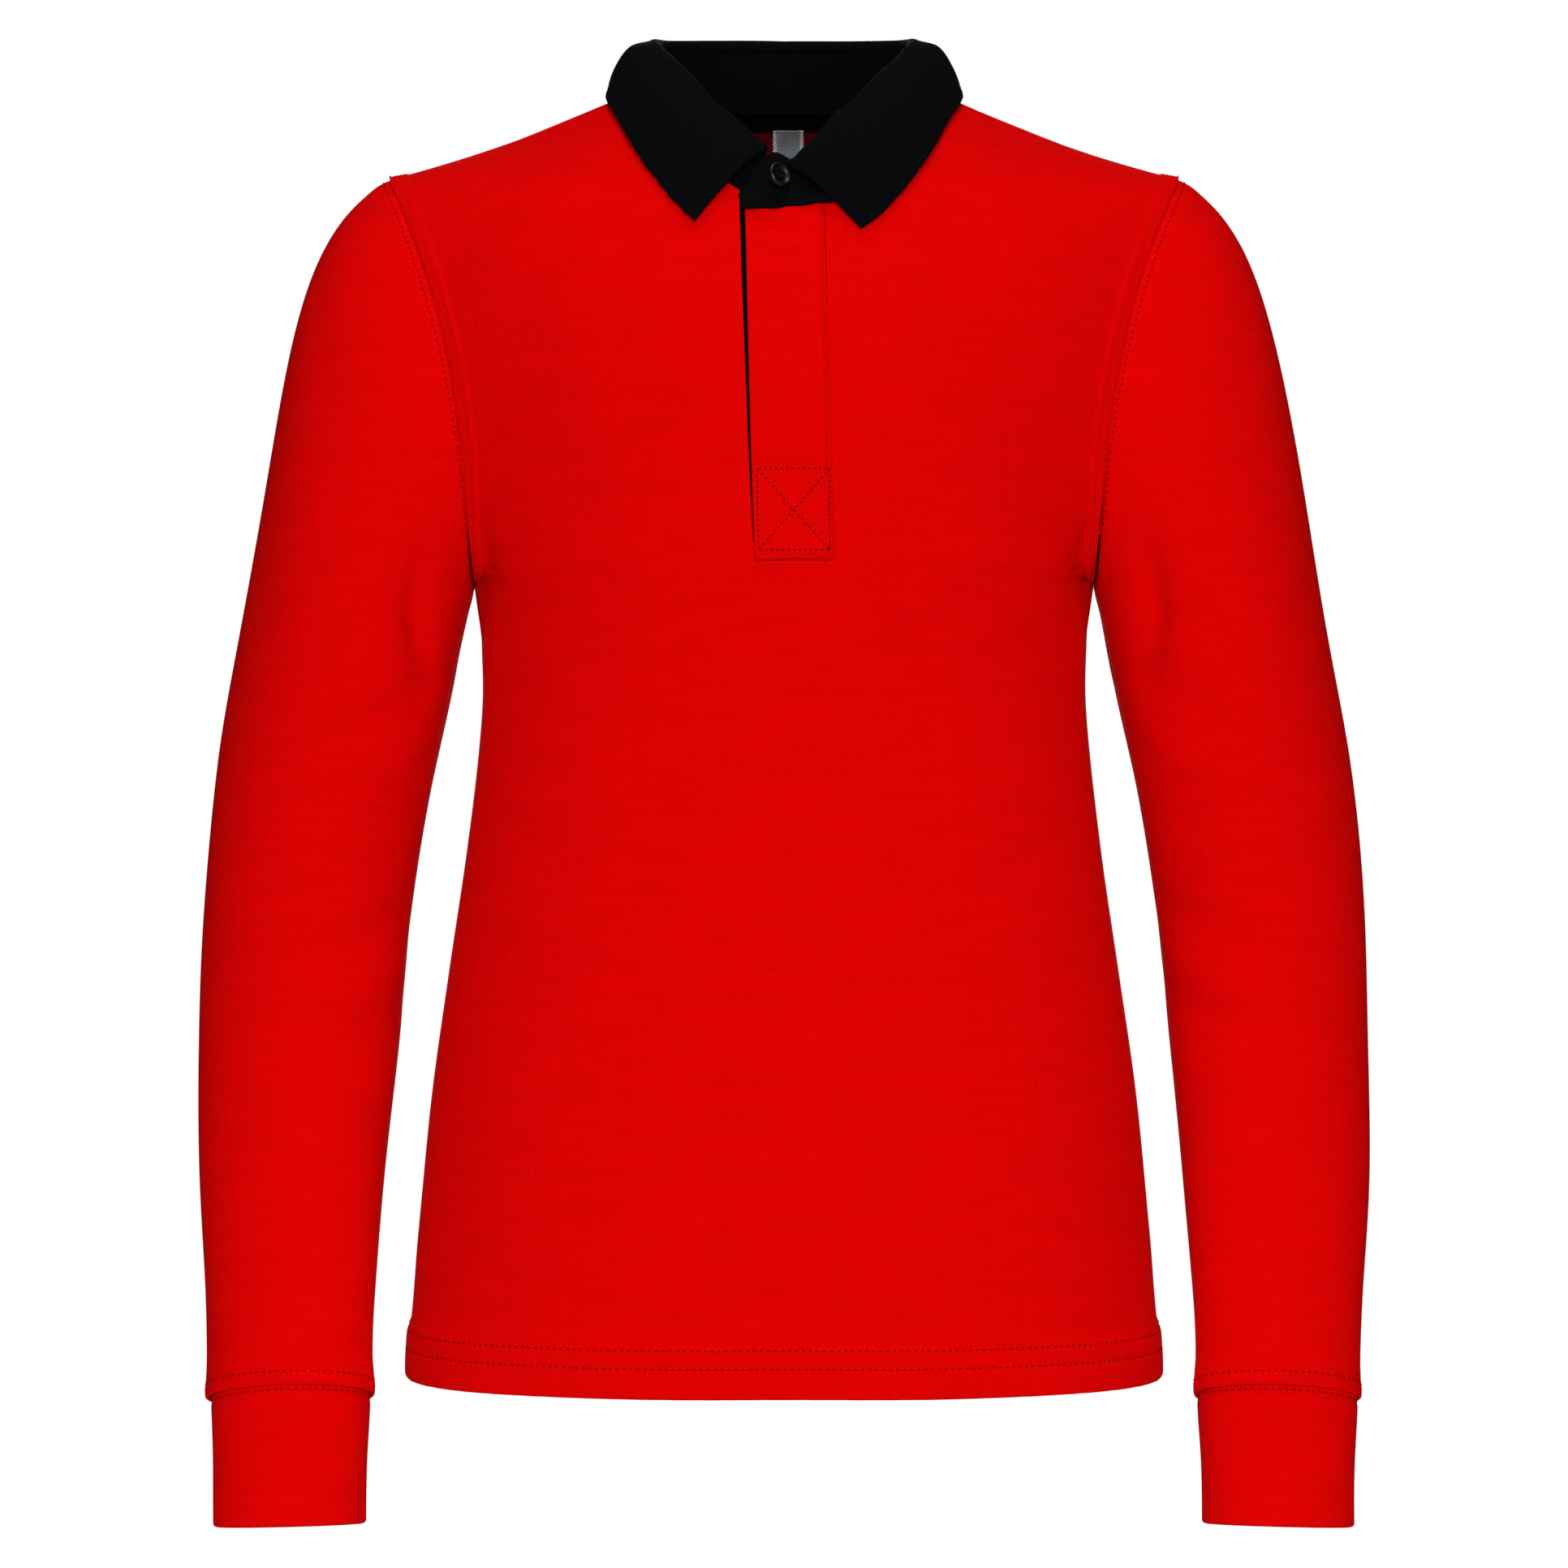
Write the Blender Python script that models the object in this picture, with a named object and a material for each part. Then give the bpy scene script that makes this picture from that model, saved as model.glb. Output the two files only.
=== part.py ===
"""A child's long-sleeved rugby shirt, filled out as it is worn, with nobody in it.

The body and sleeves are heavy cotton jersey, and the collar and under placket are cotton twill.
Each piece that is cut and sewn is its own wall of cloth. Metres, +Z up, the front faces -Y.
The origin is the middle of the neck opening, level with the shoulders that hold the shirt up.
"""

from collections import namedtuple
from math import acos, asin, atan2, copysign, cos, degrees, pi, radians, sin, sqrt

import bmesh
import bpy
from mathutils import Matrix, Vector
from mathutils.bvhtree import BVHTree

# Cloth and seams
JERSEY = 0.0012
TWILL = 0.0018  # two layers and a stiffener
PLACKET_THICKNESS = 0.0018  # a folded band
RIBBON = 0.0010
GAP = 0.0003  # between two pieces at a seam, and under a piece that lies on another
INSIDE_GAP = 0.0009  # over a piece inside a panel, whose cells are not quite flat
FRONT, BACK = -1, 1  # a side of the body, and the sign of its y

# Body
HEM_HEIGHT = -0.531
UNDERARM_HEIGHT = -0.201
SHOULDER_HEIGHT = -0.0322
SHOULDER_HALF = 0.165
UNDERARM_HALF = 0.130
ARMHOLE_DEPTH = 0.050  # from the shoulder line forward, and back
ARMHOLE_BEND = 2.4  # how late the armhole runs out to the shoulder point
NECK_HALF = 0.062
NECK_REACH = {FRONT: 0.078, BACK: 0.058}
PEAK_HEIGHT = 0.035  # where the two shoulder lines would meet over the neck
PEAK_ROUND = 0.3  # the share, each way from the middle, over which that peak is rounded
SHOULDER_HOLLOW = 1.2  # 1 is a straight shoulder line, and more is a hollow one

Section = namedtuple("Section", "height half_width front back squareness")
BODY_SECTIONS = (
    Section(-0.5310, 0.1570, -0.0975, 0.0975, 2.70),
    Section(-0.5270, 0.1574, -0.0980, 0.0980, 2.70),
    Section(-0.5140, 0.1567, -0.0970, 0.0970, 2.70),
    Section(-0.5060, 0.1550, -0.0955, 0.0955, 2.65),
    Section(-0.4730, 0.1527, -0.0945, 0.0945, 2.60),
    Section(-0.4190, 0.1476, -0.0920, 0.0905, 2.50),
    Section(-0.3650, 0.1397, -0.0895, 0.0850, 2.45),
    Section(-0.3100, 0.1319, -0.0880, 0.0790, 2.40),
    Section(-0.2560, 0.1260, -0.0885, 0.0770, 2.35),
    Section(-0.2285, 0.1262, -0.0900, 0.0800, 2.30),
    Section(-0.2010, 0.1300, -0.0920, 0.0850, 2.30),
)
Middle = namedtuple("Middle", "rise y height")  # rise 0 is level with the underarm, 1 the shoulder
BODY_MIDDLES = {
    FRONT: (
        Middle(0.00, -0.0920, -0.2010),
        Middle(0.25, -0.0925, -0.1600),
        Middle(0.50, -0.0900, -0.1105),
        Middle(0.70, -0.0830, -0.0690),
        Middle(0.85, -0.0640, -0.0275),
        Middle(1.00, 0.0000, PEAK_HEIGHT),
    ),
    BACK: (
        Middle(0.00, 0.0850, -0.2010),
        Middle(0.25, 0.0900, -0.1550),
        Middle(0.50, 0.0885, -0.1000),
        Middle(0.70, 0.0800, -0.0465),
        Middle(0.85, 0.0640, 0.0066),
        Middle(1.00, 0.0000, PEAK_HEIGHT),
    ),
}

# Sleeve and cuff of the arm at +X
CAP_END_HEIGHT = -0.236
SLEEVE_END_HEIGHT = -0.536
CUFF_END_HEIGHT = -0.587
CUFF_LAP = 0.004  # how far the cuff goes up inside the sleeve
CUFF_STEP = JERSEY + GAP  # how far in from the line of the sleeve the cuff is
CUFF_DROP = 0.0040  # how far its end is let down in front, and taken up behind
Ring = namedtuple("Ring", "height x y half_width half_depth")
ARM_RINGS = (
    Ring(-0.200, 0.1768, 0.002, 0.0455, 0.0520),
    Ring(-0.236, 0.1840, 0.004, 0.0458, 0.0510),
    Ring(-0.283, 0.1933, 0.007, 0.0450, 0.0480),
    Ring(-0.338, 0.2003, 0.008, 0.0434, 0.0430),
    Ring(-0.392, 0.2034, 0.003, 0.0417, 0.0380),
    Ring(-0.446, 0.2051, -0.009, 0.0388, 0.0325),
    Ring(-0.498, 0.2042, -0.025, 0.0349, 0.0265),
    Ring(-0.520, 0.2034, -0.033, 0.0340, 0.0250),
    Ring(-0.533, 0.2028, -0.037, 0.0345, 0.0250),
    Ring(-0.562, 0.2020, -0.047, 0.0330, 0.0240),
    Ring(-0.587, 0.2013, -0.055, 0.0326, 0.0235),
    Ring(-0.600, 0.2010, -0.059, 0.0326, 0.0235),
)

# Placket
PLACKET_END_SHARE = 0.60  # of the row of cells under the slit that the placket laps over
PLACKET_LEFT = (-0.0157, -0.0120)  # x at the neck and at the foot
PLACKET_RIGHT = (0.0165, 0.0205)
SLIT_LEFT = (-0.0179, -0.0124)
SLIT_RIGHT = (0.0080, 0.0120)
PLACKET_MIDDLES = ((-0.0080, -0.0050), (0.0000, 0.0035))
FOOT_LEVEL, NECK_LEVEL = 1.08, 1.76  # the levels of the body at those two ends

# Collar. Its places run round from the middle of the front, 0 degrees, to the middle of the back.
Place = namedtuple("Place", "turn fold_x fold_y fold_z edge_x edge_y edge_z")
COLLAR_PLACES = (
    Place(0, 0.0000, -0.0695, -0.0335, 0.0315, -0.0880, -0.0615),
    Place(11, 0.0100, -0.0660, -0.0255, 0.0385, -0.0850, -0.0555),
    Place(20, 0.0175, -0.0600, -0.0178, 0.0444, -0.0800, -0.0495),
    Place(31, 0.0270, -0.0520, -0.0090, 0.0518, -0.0720, -0.0404),
    Place(45, 0.0370, -0.0370, 0.0045, 0.0595, -0.0580, -0.0290),
    Place(62, 0.0460, -0.0180, 0.0155, 0.0680, -0.0320, -0.0115),
    Place(90, 0.0525, 0.0040, 0.0257, 0.0738, 0.0000, 0.0010),
    Place(120, 0.0470, 0.0300, 0.0301, 0.0670, 0.0420, 0.0010),
    Place(150, 0.0280, 0.0470, 0.0328, 0.0400, 0.0640, -0.0020),
    Place(180, 0.0000, 0.0530, 0.0335, 0.0000, 0.0720, -0.0030),
)
NECK_TURNS = (90, 72, 58, 44, 30)  # degrees, where the panels and the collar share their points
BACK_TURN = 15
STAND_OUT = 0.0020  # how far out the upper end of the stand is
STAND_IN = -0.0001
FOLD_DROP = 0.004  # from the fold down to the seam of the leaf, inside
FOLD_RADIUS = 0.0022  # of the middle of the cloth
LEAF_START_TURN = 3
LEAF_CLEARANCE = 0.0015  # of the leaf's outer edge over the body

# Neck tape, size label and button
TAPE_SHARE = 0.80  # of the top row of cells that the neck tape covers
LABEL_WIDTH = 0.0132
LABEL_LENGTH = 0.0150
LABEL_X = 0.0018
BUTTON_RADIUS = 0.0052
BUTTON_RIM = 0.0012
BUTTON_THICKNESS = 0.0024
BUTTON_HOLE_RADIUS = 0.0007
BUTTON_HOLE_SPACING = 0.0026
BUTTON_TURN = -2.8
BUTTON_SHARE = 0.68  # of the way up the stand

# How finely each surface is divided
SEAM_SHARES = (0, 0.1, 0.2, 0.3, 0.4, 0.5, 0.6, 0.7, 0.8, 0.9, 0.97, 1)  # up the armhole
BODY_LEVELS = (0, 0.045, 0.08, 0.18, 0.34, 0.52, 0.68, 0.83, 0.93, 1)
SIDE_SHARES = (1, 0.988, 0.951, 0.891, 0.808, 0.710)  # across the body, up to the underarm
SHOULDER_SHARES = (1, 0.950, 0.860, 0.750, 0.630, 0.500)  # where those columns end
UNDER_NECK_SHARES = (0.610, 0.510, 0.415, 0.320, 0.225)  # where the neck's columns start
CAP_LEVELS = (0, 0.12, 0.26, 0.42, 0.6, 0.8, 1)
ARM_LEVELS = (1, 1.15, 1.32, 1.5, 1.68, 1.84, 1.94, 2)


def along(rows, at):
    """The row of a table at a place between its rows, on a smooth curve through them."""
    keys = [row[0] for row in rows]
    rising = keys[-1] > keys[0]
    low = 0
    while low < len(rows) - 2 and (at > keys[low + 1] if rising else at < keys[low + 1]):
        low += 1
    span = keys[low + 1] - keys[low]
    t = (at - keys[low]) / span

    def slope(i, column):
        a, b = max(i - 1, 0), min(i + 1, len(rows) - 1)
        return (rows[b][column] - rows[a][column]) / (keys[b] - keys[a]) * span

    values = [at]
    for column in range(1, len(rows[0])):
        values.append(
            rows[low][column] * (2 * t**3 - 3 * t**2 + 1)
            + slope(low, column) * (t**3 - 2 * t**2 + t)
            + rows[low + 1][column] * (3 * t**2 - 2 * t**3)
            + slope(low + 1, column) * (t**3 - t**2)
        )
    return type(rows[0])(*values)


def ease(t):
    """0 to 1, flat at both ends."""
    t = min(max(t, 0), 1)
    return t * t * (3 - 2 * t)


def between(a, b, share):
    return a + (b - a) * share


def solve(test, low, high):
    """The place between low and high where test turns from true to false."""
    for _ in range(40):
        middle = (low + high) / 2
        low, high = (middle, high) if test(middle) else (low, middle)
    return low


# ---------------------------------------------------------------- body


def armhole(turn, side):
    """The armhole at +X: turn 0 is the shoulder point and pi the underarm."""
    rise = (1 + cos(turn)) / 2
    x = between(UNDERARM_HALF, SHOULDER_HALF, rise**ARMHOLE_BEND)
    y = side * ARMHOLE_DEPTH * abs(sin(turn))
    return Vector((x, y, between(UNDERARM_HEIGHT, SHOULDER_HEIGHT, rise)))


def body_point(side, share, level):
    """The outside of the body. share is -1 to 1 across; level 0 is the hem, 1 the underarm, 2 the shoulder."""
    rise = max(level - 1, 0)
    if level <= 1:
        row = along(BODY_SECTIONS, between(HEM_HEIGHT, UNDERARM_HEIGHT, level))
        edge = Vector((row.half_width, 0, row.height))
        middle = Vector((0, row.front if side == FRONT else row.back, row.height))
        squareness = row.squareness
    else:
        edge = armhole(pi * (1 - rise), side)
        row = along(BODY_MIDDLES[side], rise)
        middle = Vector((0, row.y, row.height))
        squareness = BODY_SECTIONS[-1].squareness
    out = min(abs(share), 1)
    softness = between(1 / squareness, 1, ease(rise / 0.4))
    forward = (1 - out**squareness) ** softness
    spread = out if out > PEAK_ROUND else (out**2 / PEAK_ROUND + PEAK_ROUND) / 2
    upward = between(1 - out**2, (1 - spread) ** SHOULDER_HOLLOW, rise)
    return Vector(
        (
            edge.x * share,
            between(edge.y, middle.y, forward),
            between(edge.z, middle.z, upward),
        )
    )


def body_half(level):
    """Half the width of the body between its side seams or its armholes."""
    return body_point(FRONT, 1, level).x


def body_normal(side, share, level):
    step = 0.004
    out = min(abs(share), 1 - step)
    low = min(level, 2 - step)
    run = body_point(side, out + step, low) - body_point(side, out, low)
    rise = body_point(side, out, low + step) - body_point(side, out, low)
    found = run.cross(rise).normalized()
    point = body_point(side, out, low)
    if found.dot(Vector((point.x, point.y, 0.03))) < 0:
        found.negate()
    if abs(share) < 1e-6:
        found.x = 0
    found.x = copysign(found.x, found.x * (share or 1))
    return found.normalized()


def neck_edge(side, turn):
    """Where the skin meets the oval of the neck, turn degrees from the middle: its share and its level."""
    x = NECK_HALF * sin(radians(turn))
    y = NECK_REACH[side] * cos(radians(turn))
    level = solve(lambda at: abs(body_point(side, x / body_half(at), at).y) > y, 1.4, 2)
    return x / body_half(level), level


def slit_share(ends, level):
    """The share of an edge of the placket, from its x at the neck and at the foot."""
    up = (level - FOOT_LEVEL) / (NECK_LEVEL - FOOT_LEVEL)
    return between(ends[1], ends[0], min(max(up, 0), 1)) / body_half(level)


# ---------------------------------------------------------------- arm


def arm_ring(height, turn, smaller=0):
    """A point of the ring round the arm: turn 0 is its outer side, pi / 2 its front, pi its inner side."""
    step = 0.004
    row = along(ARM_RINGS, height)
    above, below = along(ARM_RINGS, height + step), along(ARM_RINGS, height - step)
    axis = Vector((below.x - above.x, below.y - above.y, -2 * step)).normalized()
    outward = (Vector((1, 0, 0)) - axis * axis.x).normalized()
    forward = axis.cross(outward).normalized()
    if forward.y > 0:
        forward.negate()
    return (
        Vector((row.x, row.y, row.height))
        + outward * (row.half_width - smaller) * cos(turn)
        + forward * (row.half_depth - smaller) * sin(turn)
    )


def sleeve_point(turn, level):
    """The outside of the sleeve: level 0 is the armhole, 1 the first whole ring, 2 the end."""
    if level > 1:
        return arm_ring(between(CAP_END_HEIGHT, SLEEVE_END_HEIGHT, level - 1), turn)
    start = armhole(turn, FRONT if sin(turn) > 0 else BACK)
    end = arm_ring(CAP_END_HEIGHT, turn)
    far = (end - start).length
    leave = Vector((0.52 + 0.35 * cos(turn), -0.15 * sin(turn), -0.74 + 0.25 * cos(turn)))
    arrive = arm_ring(CAP_END_HEIGHT - 0.01, turn) - end
    leave = leave.normalized() * far * 0.7
    arrive = arrive.normalized() * far * (1.35 + 0.37 * cos(turn))
    t = level
    return (
        start * (2 * t**3 - 3 * t**2 + 1)
        + leave * (t**3 - 2 * t**2 + t)
        + end * (3 * t**2 - 2 * t**3)
        + arrive * (t**3 - t**2)
    )


def arm_normal(surface, turn, level, top=2):
    step = 0.004
    run = surface(turn + step, level) - surface(turn - step, level)
    low = min(level, top - step)
    rise = surface(turn, low + step) - surface(turn, low)
    found = run.cross(rise).normalized()
    across = surface(turn, low + step) - surface(turn + pi, low + step)
    return found if found.dot(across) > 0 else -found


def cuff_point(turn, level):
    """The outside of the cuff: level 0 is up inside the sleeve, 2 the end."""
    height = between(SLEEVE_END_HEIGHT + CUFF_LAP, CUFF_END_HEIGHT, level / 2)
    point = arm_ring(height, turn, CUFF_STEP)
    down = (SLEEVE_END_HEIGHT - height) / (SLEEVE_END_HEIGHT - CUFF_END_HEIGHT)
    point.z -= CUFF_DROP * sin(turn) * ease(down)
    return point


# ---------------------------------------------------------------- collar


def neck_point(turn):
    """The neck seam, turn degrees from the middle of the front, -180 to 180."""
    side = FRONT if abs(turn) <= 90 else BACK
    folded = turn if side == FRONT else copysign(180 - abs(turn), turn)
    share, level = neck_edge(side, folded)
    return body_point(side, share, level), body_normal(side, share, level)


def place_at(turn):
    row = along(COLLAR_PLACES, abs(turn))
    flip = copysign(1, turn)
    fold = Vector((row.fold_x * flip, row.fold_y, row.fold_z))
    return fold, Vector((row.edge_x * flip, row.edge_y, row.edge_z))


def stand_frame(turn):
    """The neck seam, the fold, and the outward normal of the stand at a turn."""
    start, _ = neck_point(turn)
    fold, _ = place_at(turn)
    ahead, behind = place_at(turn + 1)[0], place_at(turn - 1)[0]
    run = ahead - behind
    normal = run.cross(fold - start).normalized()
    if normal.dot(Vector((fold.x, fold.y, 0))) < 0:
        normal.negate()
    return start, fold, normal


def stand_offset(turn, upper):
    """How far out the stand is: its two ends lap over each other in the middle of the front."""
    if upper:
        return STAND_OUT * (1 - ease((turn - 18) / 40))
    return STAND_IN * (1 - ease((-turn - 18) / 40))


def neck_mitre(turn):
    """The way that the walls of the body and the stand go at the neck seam."""
    _, skin = neck_point(turn)
    _, _, stand = stand_frame(turn)
    return (skin + stand).normalized()


# ---------------------------------------------------------------- walls of cloth


def at_seam(point, normal, others, into, thickness):
    """The outer and inner point of a piece's edge where it meets other pieces at a seam."""
    mitre = normal.copy()
    for other in others:
        mitre += other
    mitre.normalize()
    aside = (into - mitre * into.dot(mitre)).normalized()
    edge = point + aside * GAP / 2
    return edge, edge - mitre * thickness * min(1 / max(mitre.dot(normal), 0.1), 1.5)


def plain(point, normal, thickness):
    return point, point - normal * thickness


def wall(name, material, pairs, tube=False, left_out=()):
    """A closed wall from rows of (outer point, inner point). left_out names cells (row, column)."""
    bm = bmesh.new()
    outer = [[bm.verts.new(pair[0]) for pair in row] for row in pairs]
    inner = [[bm.verts.new(pair[1]) for pair in row] for row in pairs]
    rows, columns = len(pairs) - 1, len(pairs[0]) - (0 if tube else 1)
    cells = {(r, c) for r in range(rows) for c in range(columns)} - set(left_out)

    def corners(sheet, r, c):
        after = (c + 1) % len(pairs[0])
        return sheet[r][c], sheet[r][after], sheet[r + 1][after], sheet[r + 1][c]

    for r, c in sorted(cells):
        a, b = corners(outer, r, c), corners(inner, r, c)
        bm.faces.new(a)
        bm.faces.new(reversed(b))
        beside = ((r - 1, c), (r, c + 1), (r + 1, c), (r, c - 1))
        for i, (row, column) in enumerate(beside):
            if ((row, column % columns) if tube else (row, column)) not in cells:
                j = (i + 1) % 4
                bm.faces.new((a[j], a[i], b[i], b[j]))
    loose = [vert for vert in bm.verts if not vert.link_faces]
    bmesh.ops.delete(bm, geom=loose, context="VERTS")
    bmesh.ops.recalc_face_normals(bm, faces=bm.faces[:])
    return add_mesh(name, material, bm)


def add_mesh(name, material, bm):
    mesh = bpy.data.meshes.new(name)
    bm.to_mesh(mesh)
    bm.free()
    mesh.materials.append(material)
    thing = bpy.data.objects.new(name, mesh)
    shirt.objects.link(thing)
    return thing


def grid_normals(rows):
    """The normal at each point of a grid of points."""
    found = []
    for r, row in enumerate(rows):
        above, below = rows[min(r + 1, len(rows) - 1)], rows[max(r - 1, 0)]
        found.append([])
        for c in range(len(row)):
            run = row[min(c + 1, len(row) - 1)] - row[max(c - 1, 0)]
            found[-1].append(run.cross(above[c] - below[c]).normalized())
    return found


def outward(rows, normals, centre):
    """The same normals, turned if need be so that they point away from the centre."""
    away = sum(
        (n.dot(p - centre) for row, line in zip(rows, normals) for p, n in zip(row, line)), 0.0
    )
    return normals if away > 0 else [[-n for n in line] for line in normals]


def offset(rows, normals, out, thickness):
    """Pairs for a wall that stands off a surface: its inner face is out from the surface."""
    return [
        [(p + n * (out + thickness), p + n * out) for p, n in zip(row, line)]
        for row, line in zip(rows, normals)
    ]


def outside_of(*walls):
    """The outer faces of some walls, to find the nearest place on them."""
    points, faces = [], []
    for pairs in walls:
        first, across = len(points), len(pairs[0])
        points += [pair[0] for row in pairs for pair in row]
        for r in range(len(pairs) - 1):
            for c in range(across - 1):
                a = first + r * across + c
                faces.append((a, a + 1, a + 1 + across, a + across))
    return BVHTree.FromPolygons(points, faces)


def clear_of(skin, point, least, always=False):
    """The point, moved out from the skin when it is nearer than least, or always to that far."""
    found, normal, _, _ = skin.find_nearest(point)
    if normal.dot(Vector((found.x, found.y, 0.03))) < 0:
        normal.negate()
    if always or (point - found).dot(normal) < least:
        return found + normal * least
    return point


def material_of(name, colour, roughness):
    made = bpy.data.materials.new(name)
    made.use_nodes = True
    shader = made.node_tree.nodes["Principled BSDF"]
    shader.inputs["Base Color"].default_value = (*colour, 1)
    shader.inputs["Roughness"].default_value = roughness
    made.diffuse_color = (*colour, 1)
    return made


# ---------------------------------------------------------------- panels


def panel_columns(side):
    """Across the panel from -X to +X: (a function of level that gives the share, the top level)."""
    found = []
    for start, end in zip(SIDE_SHARES, SHOULDER_SHARES):
        found.append((start, end, 2))
    for start, turn in zip(UNDER_NECK_SHARES, NECK_TURNS):
        found.append((start, *neck_edge(side, turn)))
    if side == BACK:
        share, top = neck_edge(side, BACK_TURN)
        found.append((share, share, top))
    columns = []
    for flip in (-1, 1):
        half = [
            (
                lambda level, a=start * flip, b=end * flip, top=top: between(
                    a, b, ease((level - 1) / (top - 1))
                ),
                top,
            )
            for start, end, top in found
        ]
        columns.append(half)
    if side == BACK:
        central = [lambda level: 0]
    else:
        edges = (SLIT_LEFT, PLACKET_LEFT, *PLACKET_MIDDLES, SLIT_RIGHT, PLACKET_RIGHT)
        central = [lambda level, ends=ends: slit_share(ends, level) for ends in edges]
    central = [(column, column_top(side, column)) for column in central]
    return columns[0] + central + columns[1][::-1]


def column_top(side, column):
    """The level where a column meets the neck seam."""

    def below_neck(level):
        point = body_point(side, column(level), level)
        return (point.x / NECK_HALF) ** 2 + (point.y / NECK_REACH[side]) ** 2 > 1

    return solve(below_neck, 1.4, 2)


def panel(side):
    """The pairs of a body panel, and its surface as rows of (share, level, point, normal)."""
    columns = panel_columns(side)
    lines = [[(column(level), level) for column, _ in columns] for level in BODY_LEVELS]
    for up in SEAM_SHARES[1:]:
        lines.append([])
        for column, top in columns:
            level = between(1, top, up)
            lines[-1].append((column(level), level))
    surface, pairs = [], []
    for r, line in enumerate(lines):
        surface.append([])
        pairs.append([])
        for c, (share, level) in enumerate(line):
            point, normal = body_point(side, share, level), body_normal(side, share, level)
            surface[-1].append((point, normal))
            others, into = [], Vector()
            if c in (0, len(line) - 1):
                into += Vector((-copysign(1, share) * 0.35, side, 0))
                if level <= 1:
                    others.append(body_normal(-side, share, level))
                if level >= 1:
                    turn = (1 if side == FRONT else -1) * pi * (2 - level)
                    found = arm_normal(sleeve_point, turn, 0)
                    found.x *= copysign(1, share)
                    others.append(found)
                    into = Vector((-copysign(1, share), 0, 0))
                if level == 1:
                    into = Vector((0, side, -1))
            if r == len(lines) - 1:
                turn = degrees(asin(min(max(point.x / NECK_HALF, -1), 1)))
                if level >= 2 - 1e-6:
                    others.append(body_normal(-side, share, level))
                    into += Vector((0, side, 0))
                if abs(point.x) < NECK_HALF + 1e-6:
                    round_neck = turn if side == FRONT else copysign(180 - abs(turn), turn)
                    others.append(stand_frame(round_neck)[2])
                    into += Vector((point.x, point.y, 0)).normalized()
            if others:
                pairs[-1].append(at_seam(point, normal, others, into, JERSEY))
            else:
                pairs[-1].append(plain(point, normal, JERSEY))
    return pairs, surface


def sleeve(flip):
    """The pairs of a sleeve; flip is 1 at +X and -1 at -X."""
    turns = [pi * (1 - share) for share in SEAM_SHARES[::-1]]
    turns += [2 * pi - turn for turn in turns[-2:0:-1]]
    pairs = []
    for level in CAP_LEVELS + ARM_LEVELS[1:]:
        pairs.append([])
        for turn in turns:
            point = sleeve_point(turn, level)
            normal = arm_normal(sleeve_point, turn, level)
            if level == 0:
                side = FRONT if turn < pi else BACK
                at = 2 - min(turn, 2 * pi - turn) / pi
                others = [body_normal(side, 1, at)]
                if turn in (0, pi):
                    others.append(body_normal(-side, 1, at))
                into = sleeve_point(turn, 0.05) - point
                pair = at_seam(point, normal, others, into, JERSEY)
            else:
                pair = plain(point, normal, JERSEY)
            pairs[-1].append([Vector((p.x * flip, p.y, p.z)) for p in pair])
    return pairs


def cuff(flip):
    count = 20
    pairs = []
    for level in (0, 0.3, 1.1, 2):
        pairs.append([])
        for i in range(count):
            turn = 2 * pi * i / count
            point = cuff_point(turn, level)
            normal = arm_normal(cuff_point, turn, level)
            pair = plain(point, normal, JERSEY)
            pairs[-1].append([Vector((p.x * flip, p.y, p.z)) for p in pair])
    return pairs


# ---------------------------------------------------------------- the shirt

for old in list(bpy.data.objects):
    bpy.data.objects.remove(old)
shirt = bpy.data.collections.new("rugby_shirt")
bpy.context.scene.collection.children.link(shirt)

red, black, grey = (0.62, 0.002, 0.004), (0.006, 0.007, 0.009), (0.42, 0.42, 0.43)
outsides = []
for name, side in (("front", FRONT), ("back", BACK)):
    pairs, surface = panel(side)
    outsides.append(pairs)
    left_out = []
    if side == FRONT:
        front = surface
        first = len(SIDE_SHARES) + len(NECK_TURNS)  # the column of the slit's left edge
        foot = len(BODY_LEVELS)  # the row of the slit's foot
        left_out = [(r, c) for r in range(foot, len(pairs) - 1) for c in range(first, first + 4)]
    else:
        back, back_pairs = surface, pairs
    wall(name, material_of(f"{name}_jersey", red, 0.85), pairs, left_out=left_out)
for flip, arm in ((1, "left"), (-1, "right")):
    wall(f"sleeve_{arm}", material_of(f"sleeve_{arm}_jersey", red, 0.85), sleeve(flip), tube=True)
    wall(f"cuff_{arm}", material_of(f"cuff_{arm}_jersey", red, 0.85), cuff(flip), tube=True)

# Placket: both bands follow the cells of the front panel
upper, under = [], []
for r in range(foot - 1, len(front)):
    line = front[r]
    if r == foot - 1:  # the foot of the bands, part of the way down a row of cells
        line = [
            (between(a[0], b[0], 1 - PLACKET_END_SHARE), between(a[1], b[1], 1 - PLACKET_END_SHARE))
            for a, b in zip(front[r], front[r + 1])
        ]
    if r == len(front) - 1:  # the neck seam
        line = []
        for (low, _), (point, normal) in zip(front[r - 1], front[r]):
            line.append((point + (low - point).normalized() * GAP * 1.5, normal))
    top, bottom = line[first + 1 : first + 6], line[first - 1 : first + 6]
    top = [(point, normal.normalized()) for point, normal in top]
    upper.append(top)
    left = [between(bottom[0][i], bottom[1][i], 0.55) for i in range(2)]
    right = [between(bottom[5][i], bottom[6][i], 0.5) for i in range(2)]
    under.append([(p, n.normalized()) for p, n in [left, *bottom[1:6], right]])


def lying(rows, out, thickness):
    """Pairs for a band that lies on a surface, out from it."""
    return [
        [(point + normal * (out + thickness), point + normal * out) for point, normal in row]
        for row in rows
    ]


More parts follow.
